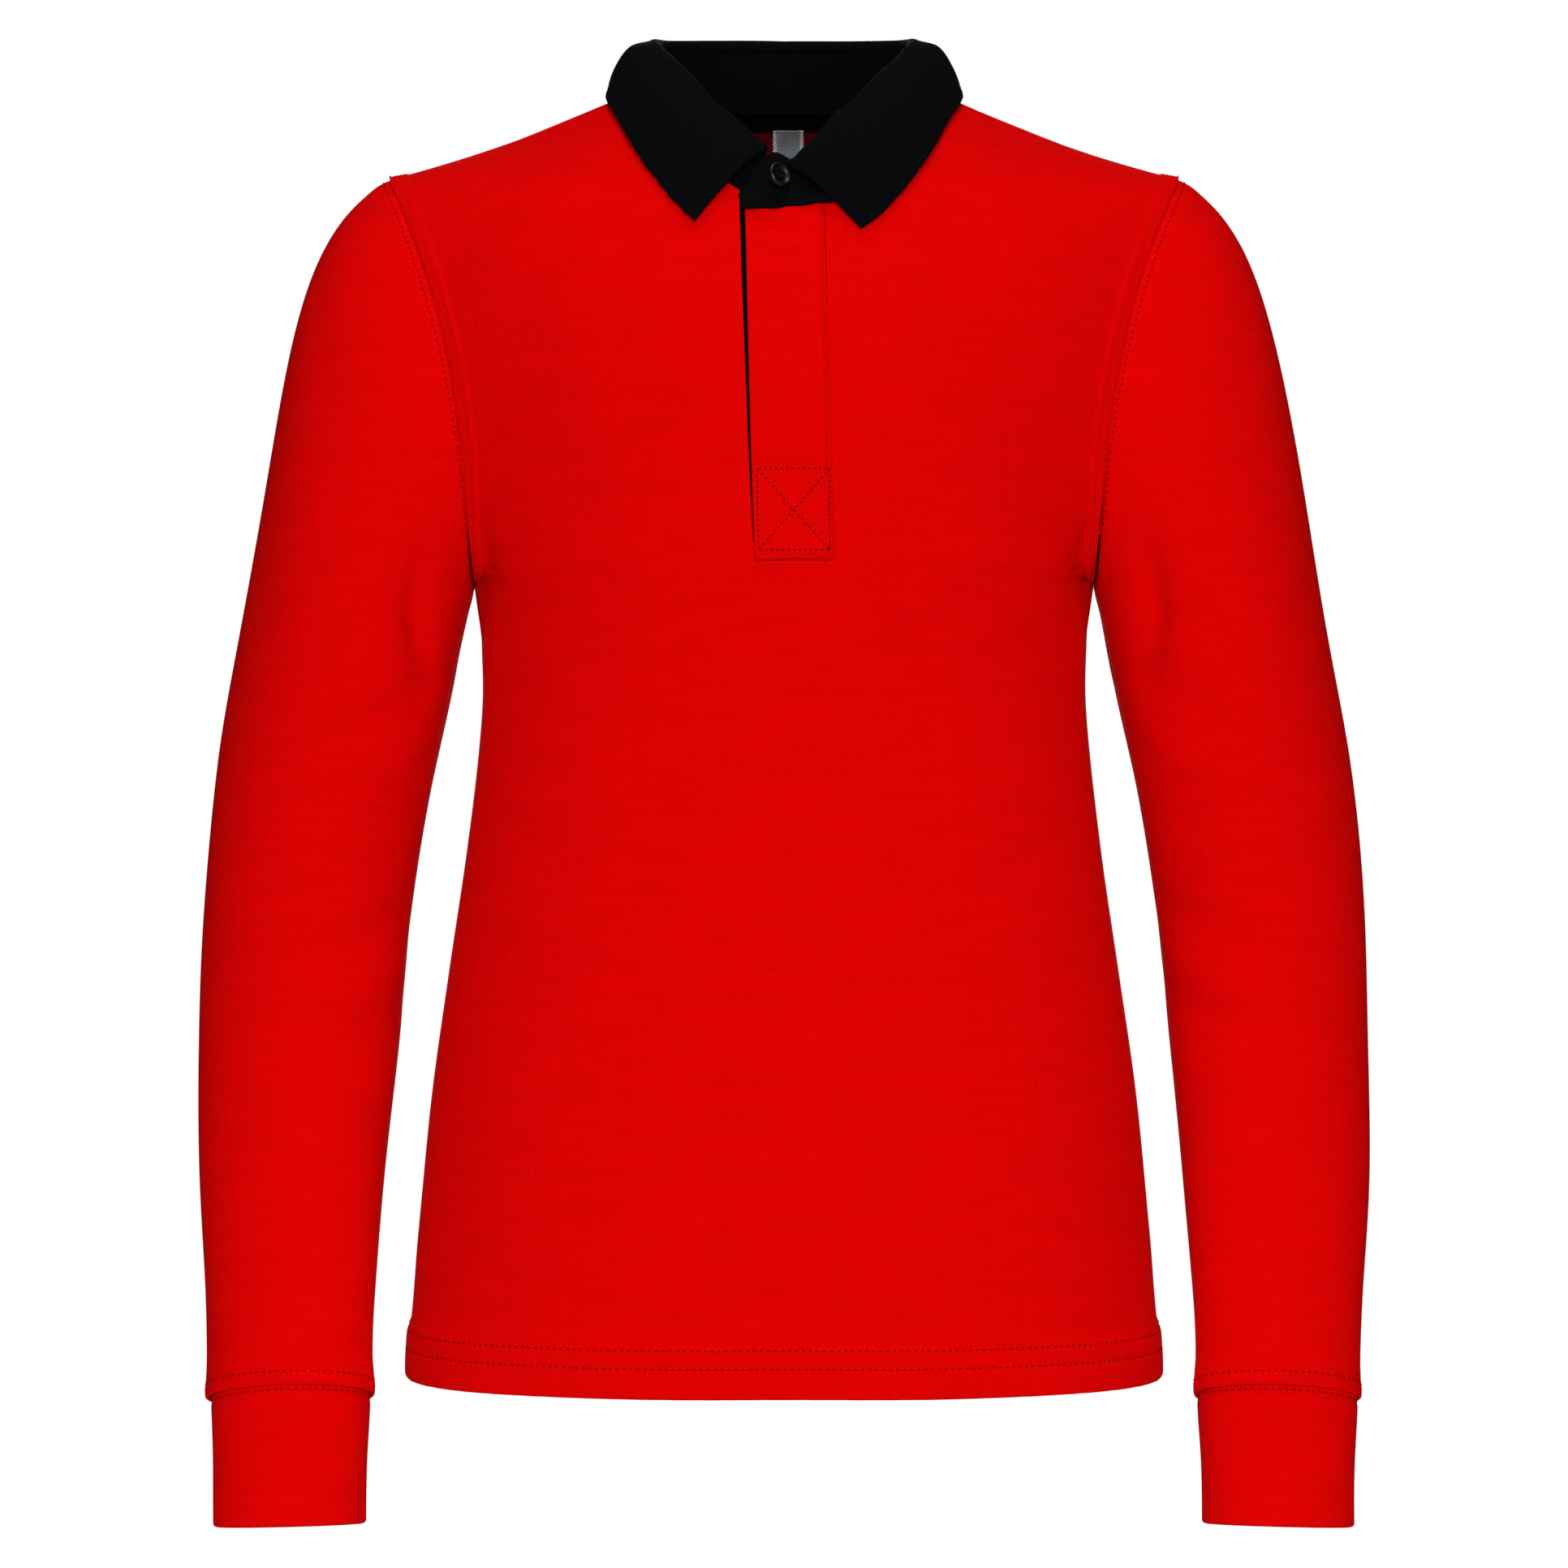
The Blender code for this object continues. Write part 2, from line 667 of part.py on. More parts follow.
wall(
    "placket_upper",
    material_of("placket_upper_jersey", red, 0.85),
    lying(upper, GAP, PLACKET_THICKNESS),
)
wall(
    "placket_under",
    material_of("placket_under_twill", black, 0.8),
    lying(under, -JERSEY - INSIDE_GAP - JERSEY, JERSEY),
)

# Stand: from its under end, round the back of the neck, to its upper end
edges = (PLACKET_LEFT, *PLACKET_MIDDLES, SLIT_RIGHT, PLACKET_RIGHT)
ends = [degrees(asin(edge[0] / NECK_HALF)) for edge in edges]
round_neck = [*reversed(NECK_TURNS), *(180 - turn for turn in (*NECK_TURNS[1:], BACK_TURN)), 180]
stations = [(turn, False) for turn in reversed(ends)]
stations += [(-turn, False) for turn in round_neck]
stations += [(turn, True) for turn in reversed(round_neck[:-1])]
stations += [(turn, True) for turn in reversed(ends)]
stand = []
for turn, is_upper in stations:
    start, fold, normal = stand_frame(turn)
    out = normal * stand_offset(turn, is_upper)
    up = (fold - start).normalized()
    height = (fold - start).length - FOLD_DROP
    mitre = neck_mitre(turn)
    foot_out = start + out + (up - mitre * up.dot(mitre)).normalized() * GAP * 1.2
    share = min(1 / mitre.dot(normal), 1.5)
    line = [(foot_out, foot_out - mitre * TWILL * share)]
    for lift in (0.25, 0.6, 1):
        point = start + out + up * height * lift
        line.append((point, point - normal * TWILL))
    stand.append(line)
stand = [list(row) for row in zip(*stand)]
wall("collar_stand", material_of("collar_stand_twill", black, 0.8), stand)

# Leaf: up from the top of the stand, over the fold, and down to its outer edge
skin = outside_of(*outsides)
leaf_turns = [LEAF_START_TURN, *(turn for turn in ends if turn > 1), *round_neck[:-1]]
stations = [(turn, True) for turn in leaf_turns] + [(180, True)]
stations += [(-turn, False) for turn in reversed(leaf_turns)]
leaf = []
for turn, is_upper in stations:
    start, fold, normal = stand_frame(turn)
    edge = place_at(turn)[1]
    up = (fold - start).normalized()
    lift = stand_offset(turn, is_upper) - TWILL / 2
    centre = fold + normal * (lift + FOLD_RADIUS) - up * FOLD_RADIUS
    towards = edge - centre
    sideways, upwards = towards.dot(normal), towards.dot(up)
    last = acos(upwards / sqrt(sideways**2 + upwards**2)) - 0.10
    line = [fold + normal * lift - up * (FOLD_DROP - GAP)]
    for i in range(4):
        angle = last * i / 3
        line.append(centre + (up * sin(angle) - normal * cos(angle)) * FOLD_RADIUS)
    turned = line[-1]
    bulge = (normal + up * 0.6).normalized() * 0.0025
    line.append(between(turned, edge, 0.33) + bulge * 0.9)
    line.append(between(turned, edge, 0.68) + bulge * 0.8)
    line.append(edge)
    line[-3] = clear_of(skin, line[-3], TWILL / 2 + LEAF_CLEARANCE)
    line[-2] = clear_of(skin, line[-2], TWILL / 2 + LEAF_CLEARANCE)
    line[-1] = clear_of(skin, line[-1], TWILL / 2 + LEAF_CLEARANCE, always=True)
    leaf.append(line)
leaf = [list(row) for row in zip(*leaf)]
normals = grid_normals(leaf)
if normals[-1][len(stations) // 4].dot(Vector((1, 0, 1))) < 0:
    normals = [[-n for n in line] for line in normals]
wall(
    "collar_leaf",
    material_of("collar_leaf_twill", black, 0.8),
    offset(leaf, normals, -TWILL / 2, TWILL),
)

# Neck tape: it follows the top row of cells of the back panel, inside
middle = range(len(SIDE_SHARES) + 1, len(back[0]) - len(SIDE_SHARES) - 1)  # columns
tape = []
for up in (0, TAPE_SHARE):
    tape.append([])
    for c in middle:
        inside = between(back_pairs[-2][c][1], back_pairs[-1][c][1], up)
        tape[-1].append((inside, between(back[-2][c][1], back[-1][c][1], up).normalized()))
wall(
    "neck_tape",
    material_of("neck_tape_twill", black, 0.8),
    lying(tape, -INSIDE_GAP - RIBBON, RIBBON),
)

# Size label: it hangs from the tape, inside the back, with a pointed foot
low, high = back[-3], back[-2]
centre = len(high) // 2
cell_height = (high[centre][0] - low[centre][0]).length
hung = []
for drop in (0, 0.4, 0.8):
    hung.append([])
    for x in (-LABEL_WIDTH / 2, 0, LABEL_WIDTH / 2):
        drawn = drop + (0.2 if drop == 0.8 and x == 0 else 0)
        up = 1 - (2 * GAP + LABEL_LENGTH * drawn) / cell_height
        across = LABEL_X + x
        c = centre if across > 0 else centre - 1
        share = (across - high[c][0].x) / (high[c + 1][0].x - high[c][0].x)
        spot = [
            between(
                between(low[c][i], low[c + 1][i], share),
                between(high[c][i], high[c + 1][i], share),
                up,
            )
            for i in range(2)
        ]
        hung[-1].append((spot[0], spot[1].normalized()))
wall(
    "size_label",
    material_of("size_label_satin", grey, 0.4),
    lying(hung, -JERSEY - INSIDE_GAP - RIBBON, RIBBON),
)

# Button: a disc with a raised rim and four holes, on the upper end of the stand
start, fold, normal = stand_frame(BUTTON_TURN)
up = (fold - start).normalized()
height = (fold - start).length - FOLD_DROP
middle = start + up * height * BUTTON_SHARE + normal * (STAND_OUT + GAP)
profile = (
    (0, 0),
    (BUTTON_RADIUS - 0.0006, 0),
    (BUTTON_RADIUS, 0.0007),
    (BUTTON_RADIUS, BUTTON_THICKNESS - 0.0006),
    (BUTTON_RADIUS - 0.0005, BUTTON_THICKNESS),
    (BUTTON_RADIUS - BUTTON_RIM, BUTTON_THICKNESS),
    (BUTTON_RADIUS - BUTTON_RIM - 0.0006, BUTTON_THICKNESS - 0.0008),
    (0, BUTTON_THICKNESS - 0.0008),
)
bm = bmesh.new()
points = [bm.verts.new((radius, 0, height)) for radius, height in profile]
edges = [bm.edges.new(pair) for pair in zip(points, points[1:])]
bmesh.ops.spin(
    bm, geom=points + edges, axis=(0, 0, 1), cent=(0, 0, 0), angle=2 * pi, steps=24,
    use_merge=True, use_duplicate=False,
)
bmesh.ops.remove_doubles(bm, verts=bm.verts[:], dist=1e-6)
bmesh.ops.recalc_face_normals(bm, faces=bm.faces[:])
right = up.cross(normal)
turned = Matrix((right, up, normal)).transposed().to_4x4()
turned.translation = middle
bm.transform(turned)
button = add_mesh("button", material_of("button_plastic", (0.01, 0.01, 0.011), 0.25), bm)

cutters = bpy.data.collections.new("cutters")
bpy.context.scene.collection.children.link(cutters)
bm = bmesh.new()
for i in range(4):
    angle = pi / 4 + i * pi / 2
    across = Vector((cos(angle), sin(angle), 0)) * BUTTON_HOLE_SPACING / sqrt(2)
    bmesh.ops.create_cone(
        bm, cap_ends=True, segments=8, radius1=BUTTON_HOLE_RADIUS, radius2=BUTTON_HOLE_RADIUS,
        depth=0.008, matrix=turned @ Matrix.Translation(across),
    )
mesh = bpy.data.meshes.new("button_holes")
bm.to_mesh(mesh)
bm.free()
holes = bpy.data.objects.new("button_holes", mesh)
holes.hide_render = True
cutters.objects.link(holes)
cut = button.modifiers.new("holes", "BOOLEAN")
cut.operation, cut.object, cut.solver = "DIFFERENCE", holes, "EXACT"
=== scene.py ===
"""A child's long-sleeved rugby shirt, filled out as it is worn, with nobody in it.

Every piece that is cut and sewn is its own sheet of cloth, modelled finely enough to carry its
seams, its turned edges and its soft creases. Metres, +Z up, and the front faces -Y.
"""

from collections import namedtuple
from math import acos, asin, copysign, cos, degrees, exp, pi, radians, sin, sqrt

import bmesh
import bpy
from mathutils import Matrix, Vector
from mathutils.bvhtree import BVHTree


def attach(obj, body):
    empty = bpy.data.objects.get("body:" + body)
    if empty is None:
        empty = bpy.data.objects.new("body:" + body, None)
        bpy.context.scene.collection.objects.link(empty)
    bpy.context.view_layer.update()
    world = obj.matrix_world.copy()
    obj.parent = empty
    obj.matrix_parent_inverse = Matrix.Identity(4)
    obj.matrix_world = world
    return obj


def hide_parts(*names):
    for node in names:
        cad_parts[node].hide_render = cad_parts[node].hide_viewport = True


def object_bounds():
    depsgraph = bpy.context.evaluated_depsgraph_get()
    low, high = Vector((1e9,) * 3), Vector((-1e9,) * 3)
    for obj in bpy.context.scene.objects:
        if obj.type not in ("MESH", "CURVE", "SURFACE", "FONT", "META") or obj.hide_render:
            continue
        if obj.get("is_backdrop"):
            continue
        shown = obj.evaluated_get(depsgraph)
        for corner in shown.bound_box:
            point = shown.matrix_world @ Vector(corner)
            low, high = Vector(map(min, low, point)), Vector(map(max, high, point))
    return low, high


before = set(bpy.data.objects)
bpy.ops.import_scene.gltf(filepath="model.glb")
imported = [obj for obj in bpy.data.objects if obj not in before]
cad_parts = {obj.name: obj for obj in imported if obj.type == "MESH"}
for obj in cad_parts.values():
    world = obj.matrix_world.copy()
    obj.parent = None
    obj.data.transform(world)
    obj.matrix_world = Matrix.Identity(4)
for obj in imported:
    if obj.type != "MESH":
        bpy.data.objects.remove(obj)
cad_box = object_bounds()

# ---------------------------------------------------------------- form, as in the frame

JERSEY = 0.0012
TWILL = 0.0018
GAP = 0.0003
FRONT, BACK = -1, 1  # a side of the body, and the sign of its y

HEM_HEIGHT = -0.531
UNDERARM_HEIGHT = -0.201
SHOULDER_HEIGHT = -0.0322
SHOULDER_HALF = 0.165
UNDERARM_HALF = 0.130
ARMHOLE_DEPTH = 0.050
ARMHOLE_BEND = 2.4
NECK_HALF = 0.062
NECK_REACH = {FRONT: 0.078, BACK: 0.058}
PEAK_HEIGHT = 0.035
PEAK_ROUND = 0.3
SHOULDER_HOLLOW = 1.2
NECK_LEVELS = (1.4, 2)  # the neck seam is between these levels of the body

Section = namedtuple("Section", "height half_width front back squareness")
BODY_SECTIONS = (
    Section(-0.5310, 0.1570, -0.0975, 0.0975, 2.70),
    Section(-0.5270, 0.1574, -0.0980, 0.0980, 2.70),
    Section(-0.5140, 0.1567, -0.0970, 0.0970, 2.70),
    Section(-0.5060, 0.1550, -0.0955, 0.0955, 2.65),
    Section(-0.4730, 0.1527, -0.0945, 0.0945, 2.60),
    Section(-0.4190, 0.1476, -0.0920, 0.0905, 2.50),
    Section(-0.3650, 0.1397, -0.0895, 0.0850, 2.45),
    Section(-0.3100, 0.1319, -0.0880, 0.0790, 2.40),
    Section(-0.2560, 0.1260, -0.0885, 0.0770, 2.35),
    Section(-0.2285, 0.1262, -0.0900, 0.0800, 2.30),
    Section(-0.2010, 0.1300, -0.0920, 0.0850, 2.30),
)
Middle = namedtuple("Middle", "rise y height")
BODY_MIDDLES = {
    FRONT: (
        Middle(0.00, -0.0920, -0.2010),
        Middle(0.25, -0.0925, -0.1600),
        Middle(0.50, -0.0900, -0.1105),
        Middle(0.70, -0.0830, -0.0690),
        Middle(0.85, -0.0640, -0.0275),
        Middle(1.00, 0.0000, PEAK_HEIGHT),
    ),
    BACK: (
        Middle(0.00, 0.0850, -0.2010),
        Middle(0.25, 0.0900, -0.1550),
        Middle(0.50, 0.0885, -0.1000),
        Middle(0.70, 0.0800, -0.0465),
        Middle(0.85, 0.0640, 0.0066),
        Middle(1.00, 0.0000, PEAK_HEIGHT),
    ),
}

CAP_END_HEIGHT = -0.236
SLEEVE_END_HEIGHT = -0.536
CUFF_END_HEIGHT = -0.587
CUFF_LAP = 0.004
CUFF_STEP = JERSEY + GAP
RING_STEP = 0.004  # between the rings that give the arm's direction
Ring = namedtuple("Ring", "height x y half_width half_depth")
ARM_RINGS = (
    Ring(-0.200, 0.1768, 0.002, 0.0455, 0.0520),
    Ring(-0.236, 0.1840, 0.004, 0.0458, 0.0510),
    Ring(-0.283, 0.1933, 0.007, 0.0450, 0.0480),
    Ring(-0.338, 0.2003, 0.008, 0.0434, 0.0430),
    Ring(-0.392, 0.2034, 0.003, 0.0417, 0.0380),
    Ring(-0.446, 0.2051, -0.009, 0.0388, 0.0325),
    Ring(-0.498, 0.2042, -0.025, 0.0349, 0.0265),
    Ring(-0.520, 0.2034, -0.033, 0.0340, 0.0250),
    Ring(-0.533, 0.2028, -0.037, 0.0345, 0.0250),
    Ring(-0.562, 0.2020, -0.047, 0.0330, 0.0240),
    Ring(-0.587, 0.2013, -0.055, 0.0326, 0.0235),
    Ring(-0.600, 0.2010, -0.059, 0.0326, 0.0235),
)

PLACKET_LEFT = (-0.0157, -0.0120)  # x at the neck and at the foot
PLACKET_RIGHT = (0.0165, 0.0205)
SLIT_LEFT = (-0.0179, -0.0124)
SLIT_RIGHT = (0.0080, 0.0120)
FOOT_LEVEL, NECK_LEVEL = 1.08, 1.76

Place = namedtuple("Place", "turn fold_x fold_y fold_z edge_x edge_y edge_z")
COLLAR_PLACES = (
    Place(0, 0.0000, -0.0695, -0.0335, 0.0315, -0.0880, -0.0615),
    Place(11, 0.0100, -0.0660, -0.0255, 0.0385, -0.0850, -0.0555),
    Place(20, 0.0175, -0.0600, -0.0178, 0.0444, -0.0800, -0.0495),
    Place(31, 0.0270, -0.0520, -0.0090, 0.0518, -0.0720, -0.0404),
    Place(45, 0.0370, -0.0370, 0.0045, 0.0595, -0.0580, -0.0290),
    Place(62, 0.0460, -0.0180, 0.0155, 0.0680, -0.0320, -0.0115),
    Place(90, 0.0525, 0.0040, 0.0257, 0.0738, 0.0000, 0.0010),
    Place(120, 0.0470, 0.0300, 0.0301, 0.0670, 0.0420, 0.0010),
    Place(150, 0.0280, 0.0470, 0.0328, 0.0400, 0.0640, -0.0020),
    Place(180, 0.0000, 0.0530, 0.0335, 0.0000, 0.0720, -0.0030),
)
STAND_OUT = 0.0020
STAND_IN = -0.0001
LAP_TURN, LAP_EASE = 18, 40  # degrees where the stand's two ends start to part, and over which
FOLD_DROP = 0.004
FOLD_RADIUS = 0.0022
LEAF_CLEARANCE = 0.0015
LABEL_WIDTH = 0.0132
LABEL_LENGTH = 0.0150
LABEL_X = 0.0018
BUTTON_RADIUS = 0.0052
BUTTON_THICKNESS = 0.0024
BUTTON_TURN = -2.8
BUTTON_SHARE = 0.58
CUFF_DROP = 0.0040  # how far the cuff's end is let down in front, and taken up behind


def along(rows, at):
    """The row of a table at a place between its rows, on a smooth curve through them."""
    keys = [row[0] for row in rows]
    rising = keys[-1] > keys[0]
    low = 0
    while low < len(rows) - 2 and (at > keys[low + 1] if rising else at < keys[low + 1]):
        low += 1
    span = keys[low + 1] - keys[low]
    t = (at - keys[low]) / span

    def slope(i, column):
        a, b = max(i - 1, 0), min(i + 1, len(rows) - 1)
        return (rows[b][column] - rows[a][column]) / (keys[b] - keys[a]) * span

    return type(rows[0])(
        at,
        *(
            cubic(t, rows[low][i], slope(low, i), rows[low + 1][i], slope(low + 1, i))
            for i in range(1, len(rows[0]))
        ),
    )


def ease(t):
    """0 to 1, flat at both ends."""
    t = min(max(t, 0), 1)
    return t * t * (3 - 2 * t)


def between(a, b, share):
    """The value that share of the way from a to b."""
    return a + (b - a) * share


def cubic(t, start, leave, end, arrive):
    """A place on the smooth curve that leaves its start and arrives at its end as given."""
    return (
        start * (2 * t**3 - 3 * t**2 + 1)
        + leave * (t**3 - 2 * t**2 + t)
        + end * (3 * t**2 - 2 * t**3)
        + arrive * (t**3 - t**2)
    )


def solve(test, low, high):
    """The place between low and high where test turns from true to false."""
    for _ in range(32):
        middle = (low + high) / 2
        low, high = (middle, high) if test(middle) else (low, middle)
    return low


def armhole(turn, side):
    """The armhole at +X: turn 0 is the shoulder point and pi the underarm."""
    rise = (1 + cos(turn)) / 2
    x = between(UNDERARM_HALF, SHOULDER_HALF, rise**ARMHOLE_BEND)
    y = side * ARMHOLE_DEPTH * abs(sin(turn))
    return Vector((x, y, between(UNDERARM_HEIGHT, SHOULDER_HEIGHT, rise)))


def body_frame(side, level):
    """What shapes the body at a level: its edge, its middle, its rise and two exponents."""
    rise = max(level - 1, 0)
    if level <= 1:
        row = along(BODY_SECTIONS, between(HEM_HEIGHT, UNDERARM_HEIGHT, level))
        edge = Vector((row.half_width, 0, row.height))
        middle = Vector((0, row.front if side == FRONT else row.back, row.height))
        squareness = row.squareness
    else:
        edge = armhole(pi * (1 - rise), side)
        row = along(BODY_MIDDLES[side], rise)
        middle = Vector((0, row.y, row.height))
        squareness = BODY_SECTIONS[-1].squareness
    return edge, middle, rise, squareness, between(1 / squareness, 1, ease(rise / 0.4))


def body_point(side, share, level):
    """The outside of the body: share -1 to 1 across it, and level 0 at the hem, 1 at the underarm
    and 2 at the shoulder."""
    edge, middle, rise, squareness, softness = body_frame(side, level)
    out = min(abs(share), 1)
    forward = (1 - out**squareness) ** softness
    spread = out if out > PEAK_ROUND else (out**2 / PEAK_ROUND + PEAK_ROUND) / 2
    upward = between(1 - out**2, (1 - spread) ** SHOULDER_HOLLOW, rise)
    return Vector(
        (edge.x * share, between(edge.y, middle.y, forward), between(edge.z, middle.z, upward))
    )


def body_half(level):
    """Half the body's width at a level."""
    return body_point(FRONT, 1, level).x


def neck_edge(side, turn):
    """The share and the level where the body meets the oval neck, turn degrees from the middle."""
    x = NECK_HALF * sin(radians(turn))
    y = NECK_REACH[side] * cos(radians(turn))
    level = solve(lambda at: abs(body_point(side, x / body_half(at), at).y) > y, *NECK_LEVELS)
    return x / body_half(level), level


def slit_share(ends, level):
    """The share of an edge of the placket, from its x at the neck and at the foot."""
    up = (level - FOOT_LEVEL) / (NECK_LEVEL - FOOT_LEVEL)
    return between(ends[1], ends[0], min(max(up, 0), 1)) / body_half(level)


def arm_ring(height, turn, smaller=0):
    """A point of the ring round the arm: turn 0 is its outer side, pi / 2 its front, and pi its
    inner side."""
    row = along(ARM_RINGS, height)
    above, below = along(ARM_RINGS, height + RING_STEP), along(ARM_RINGS, height - RING_STEP)
    axis = Vector((below.x - above.x, below.y - above.y, -2 * RING_STEP)).normalized()
    outward = (Vector((1, 0, 0)) - axis * axis.x).normalized()
    forward = axis.cross(outward).normalized()
    if forward.y > 0:
        forward.negate()
    return (
        Vector((row.x, row.y, row.height))
        + outward * (row.half_width - smaller) * cos(turn)
        + forward * (row.half_depth - smaller) * sin(turn)
    )


def sleeve_point(turn, level):
    """The outside of the sleeve: level 0 is the armhole, 1 the first whole ring, 2 the end."""
    if level > 1:
        return arm_ring(between(CAP_END_HEIGHT, SLEEVE_END_HEIGHT, level - 1), turn)
    start = armhole(turn, FRONT if sin(turn) > 0 else BACK)
    end = arm_ring(CAP_END_HEIGHT, turn)
    far = (end - start).length
    leave = Vector((0.52 + 0.35 * cos(turn), -0.15 * sin(turn), -0.74 + 0.25 * cos(turn)))
    arrive = arm_ring(CAP_END_HEIGHT - 0.01, turn) - end
    leave = leave.normalized() * far * 0.7
    arrive = arrive.normalized() * far * (1.35 + 0.37 * cos(turn))
    return cubic(level, start, leave, end, arrive)


def neck_point(turn):
    """The neck seam, turn degrees from the middle of the front, -180 to 180."""
    side = FRONT if abs(turn) <= 90 else BACK
    folded = turn if side == FRONT else copysign(180 - abs(turn), turn)
    return body_point(side, *neck_edge(side, folded))


def place_at(turn):
    """The collar's fold and its leaf's outer edge, turn degrees from the middle of the front."""
    row = along(COLLAR_PLACES, abs(turn))
    flip = copysign(1, turn)
    fold = Vector((row.fold_x * flip, row.fold_y, row.fold_z))
    return fold, Vector((row.edge_x * flip, row.edge_y, row.edge_z))


def stand_frame(turn):
    """The neck seam, the fold, and the outward normal of the stand at a turn."""
    start = neck_point(turn)
    fold, _ = place_at(turn)
    ahead, behind = place_at(turn + 1)[0], place_at(turn - 1)[0]
    normal = (ahead - behind).cross(fold - start).normalized()
    if normal.dot(Vector((fold.x, fold.y, 0))) < 0:
        normal.negate()
    return start, fold, normal


def stand_offset(turn, upper):
    """How far out the stand is: its two ends lap over each other in the middle of the front."""
    if upper:
        return STAND_OUT * (1 - ease((turn - LAP_TURN) / LAP_EASE))
    return STAND_IN * (1 - ease((-turn - LAP_TURN) / LAP_EASE))


# ---------------------------------------------------------------- sheets of cloth

MERGE = 1e-6  # points nearer than this are one
FACES_TRIED = 400  # about how many faces tell which way a sheet faces


def turned_grid(grid):
    """The same grid with its rows as columns."""
    return [list(column) for column in zip(*grid)]


def grid_normals(grid, closed=False):
    """The normal at each point of a grid of points. A closed grid's last column is its first."""
    found = []
    for r, row in enumerate(grid):
        above, below = grid[min(r + 1, len(grid) - 1)], grid[max(r - 1, 0)]
        last = len(row) - 1
        line = []
        for c in range(len(row)):
            if closed:
                run = row[(c + 1) % last] - row[(c - 1) % last]
            else:
                run = row[min(c + 1, last)] - row[max(c - 1, 0)]
            line.append(run.cross(above[c] - below[c]).normalized())
        found.append(line)
    return found


def lengths(grid):
    """Across and along the cloth to each point: metres from its middle line, and from row 0."""
    across, along_it = [], [[0.0] * len(grid[0])]
    for row in grid:
        steps = [0.0]
        for a, b in zip(row, row[1:]):
            steps.append(steps[-1] + (b - a).length)
        across.append([step - steps[-1] / 2 for step in steps])
    for below, row in zip(grid, grid[1:]):
        along_it.append([gone + (b - a).length for gone, a, b in zip(along_it[-1], below, row)])
    return across, along_it


def facing(grid, centre, closed=False):
    """1 where a grid's normals point away from its centre, and -1 where they point to it."""
    away = sum(
        normal.dot(point - centre(point))
        for row, line in zip(grid, grid_normals(grid, closed))
        for point, normal in zip(row, line)
    )
    return 1 if away > 0 else -1


def raised(grid, centre, relief, closed=False):
    """A grid pushed out by relief(r, c, u, v, point), and its facing before that."""
    normals, flip = grid_normals(grid, closed), facing(grid, centre, closed)
    across, along_it = lengths(grid)
    moved = [
        [
            point + normals[r][c] * flip * relief(r, c, across[r][c], along_it[r][c], point)
            for c, point in enumerate(row)
        ]
        for r, row in enumerate(grid)
    ]
    return moved, flip


def linked(name, data):
    """A new object in the scene."""
    made = bpy.data.objects.new(name, data)
    bpy.context.scene.collection.objects.link(made)
    return made


def piece_of(name, bm, material, smooth=True):
    """A piece of the shirt from a finished bmesh, riding on its one body."""
    for face in bm.faces:
        face.smooth = smooth
    mesh = bpy.data.meshes.new(name)
    bm.to_mesh(mesh)
    bm.free()
    mesh.materials.append(material)
    piece = linked(name, mesh)
    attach(piece, "root")
    return piece


def cloth(
    name, grid, material, thickness, flip=1, closed=False, left_out=(), round_edge=0.0, inside=None
):
    """A sheet of cloth on a grid of points. Its UV map is in metres, across and along the cloth.

    left_out lists the cells with no cloth. inside is the material of the wrong side, where that
    isn't the same: on the back it is a dark red, painted shade of the inside seen through the neck.
    """
    rows, columns = len(grid) - 1, len(grid[0]) - 1
    bm = bmesh.new()
    uv = bm.loops.layers.uv.new("UVMap")
    bmesh.ops.create_grid(bm, x_segments=columns, y_segments=rows, size=1, calc_uvs=True)
    across, along_it = lengths(grid)
    place = {
        vert: (round((vert.co.y + 1) / 2 * rows), round((vert.co.x + 1) / 2 * columns))
        for vert in bm.verts
    }
    away = set(left_out)
    unwanted = []
    for face in bm.faces:
        cell = [place[vert] for vert in face.verts]
        if (min(r for r, _ in cell), min(c for _, c in cell)) in away:
            unwanted.append(face)
        for loop in face.loops:
            r, c = place[loop.vert]
            loop[uv].uv = (across[r][c], along_it[r][c])
    for vert, (r, c) in place.items():
        vert.co = grid[r][c]
    bmesh.ops.delete(bm, geom=unwanted, context="FACES")
    if closed:
        bmesh.ops.remove_doubles(bm, verts=bm.verts[:], dist=MERGE)
    bm.normal_update()
    normals = grid_normals(grid, closed)
    out = 0.0
    for face in list(bm.faces)[:: max(len(bm.faces) // FACES_TRIED, 1)]:
        r, c = min((place[vert] for vert in face.verts if vert in place), default=(0, 0))
        out += face.normal.dot(normals[r][c]) * flip
    if out < 0:
        bmesh.ops.reverse_faces(bm, faces=bm.faces[:])
    piece = piece_of(name, bm, material)
    wall = piece.modifiers.new("cloth", "SOLIDIFY")
    wall.thickness, wall.offset, wall.use_even_offset = thickness, -1, False
    if inside:
        piece.data.materials.append(inside)
        wall.material_offset = 1
    if round_edge:
        bevel = piece.modifiers.new("soft edge", "BEVEL")
        bevel.width, bevel.segments, bevel.limit_method = round_edge, 2, "ANGLE"
        bevel.angle_limit = radians(50)
    return piece


def skin_of(*grids):
    """The surfaces of some grids, to find the nearest place on them."""
    points, faces = [], []
    for grid in grids:
        first, across = len(points), len(grid[0])
        points += [point for row in grid for point in row]
        for r in range(len(grid) - 1):
            for c in range(across - 1):
                a = first + r * across + c
                faces.append((a, a + 1, a + 1 + across, a + across))
    return BVHTree.FromPolygons(points, faces)


Crease = namedtuple("Crease", "from_a from_b to_a to_b width depth")


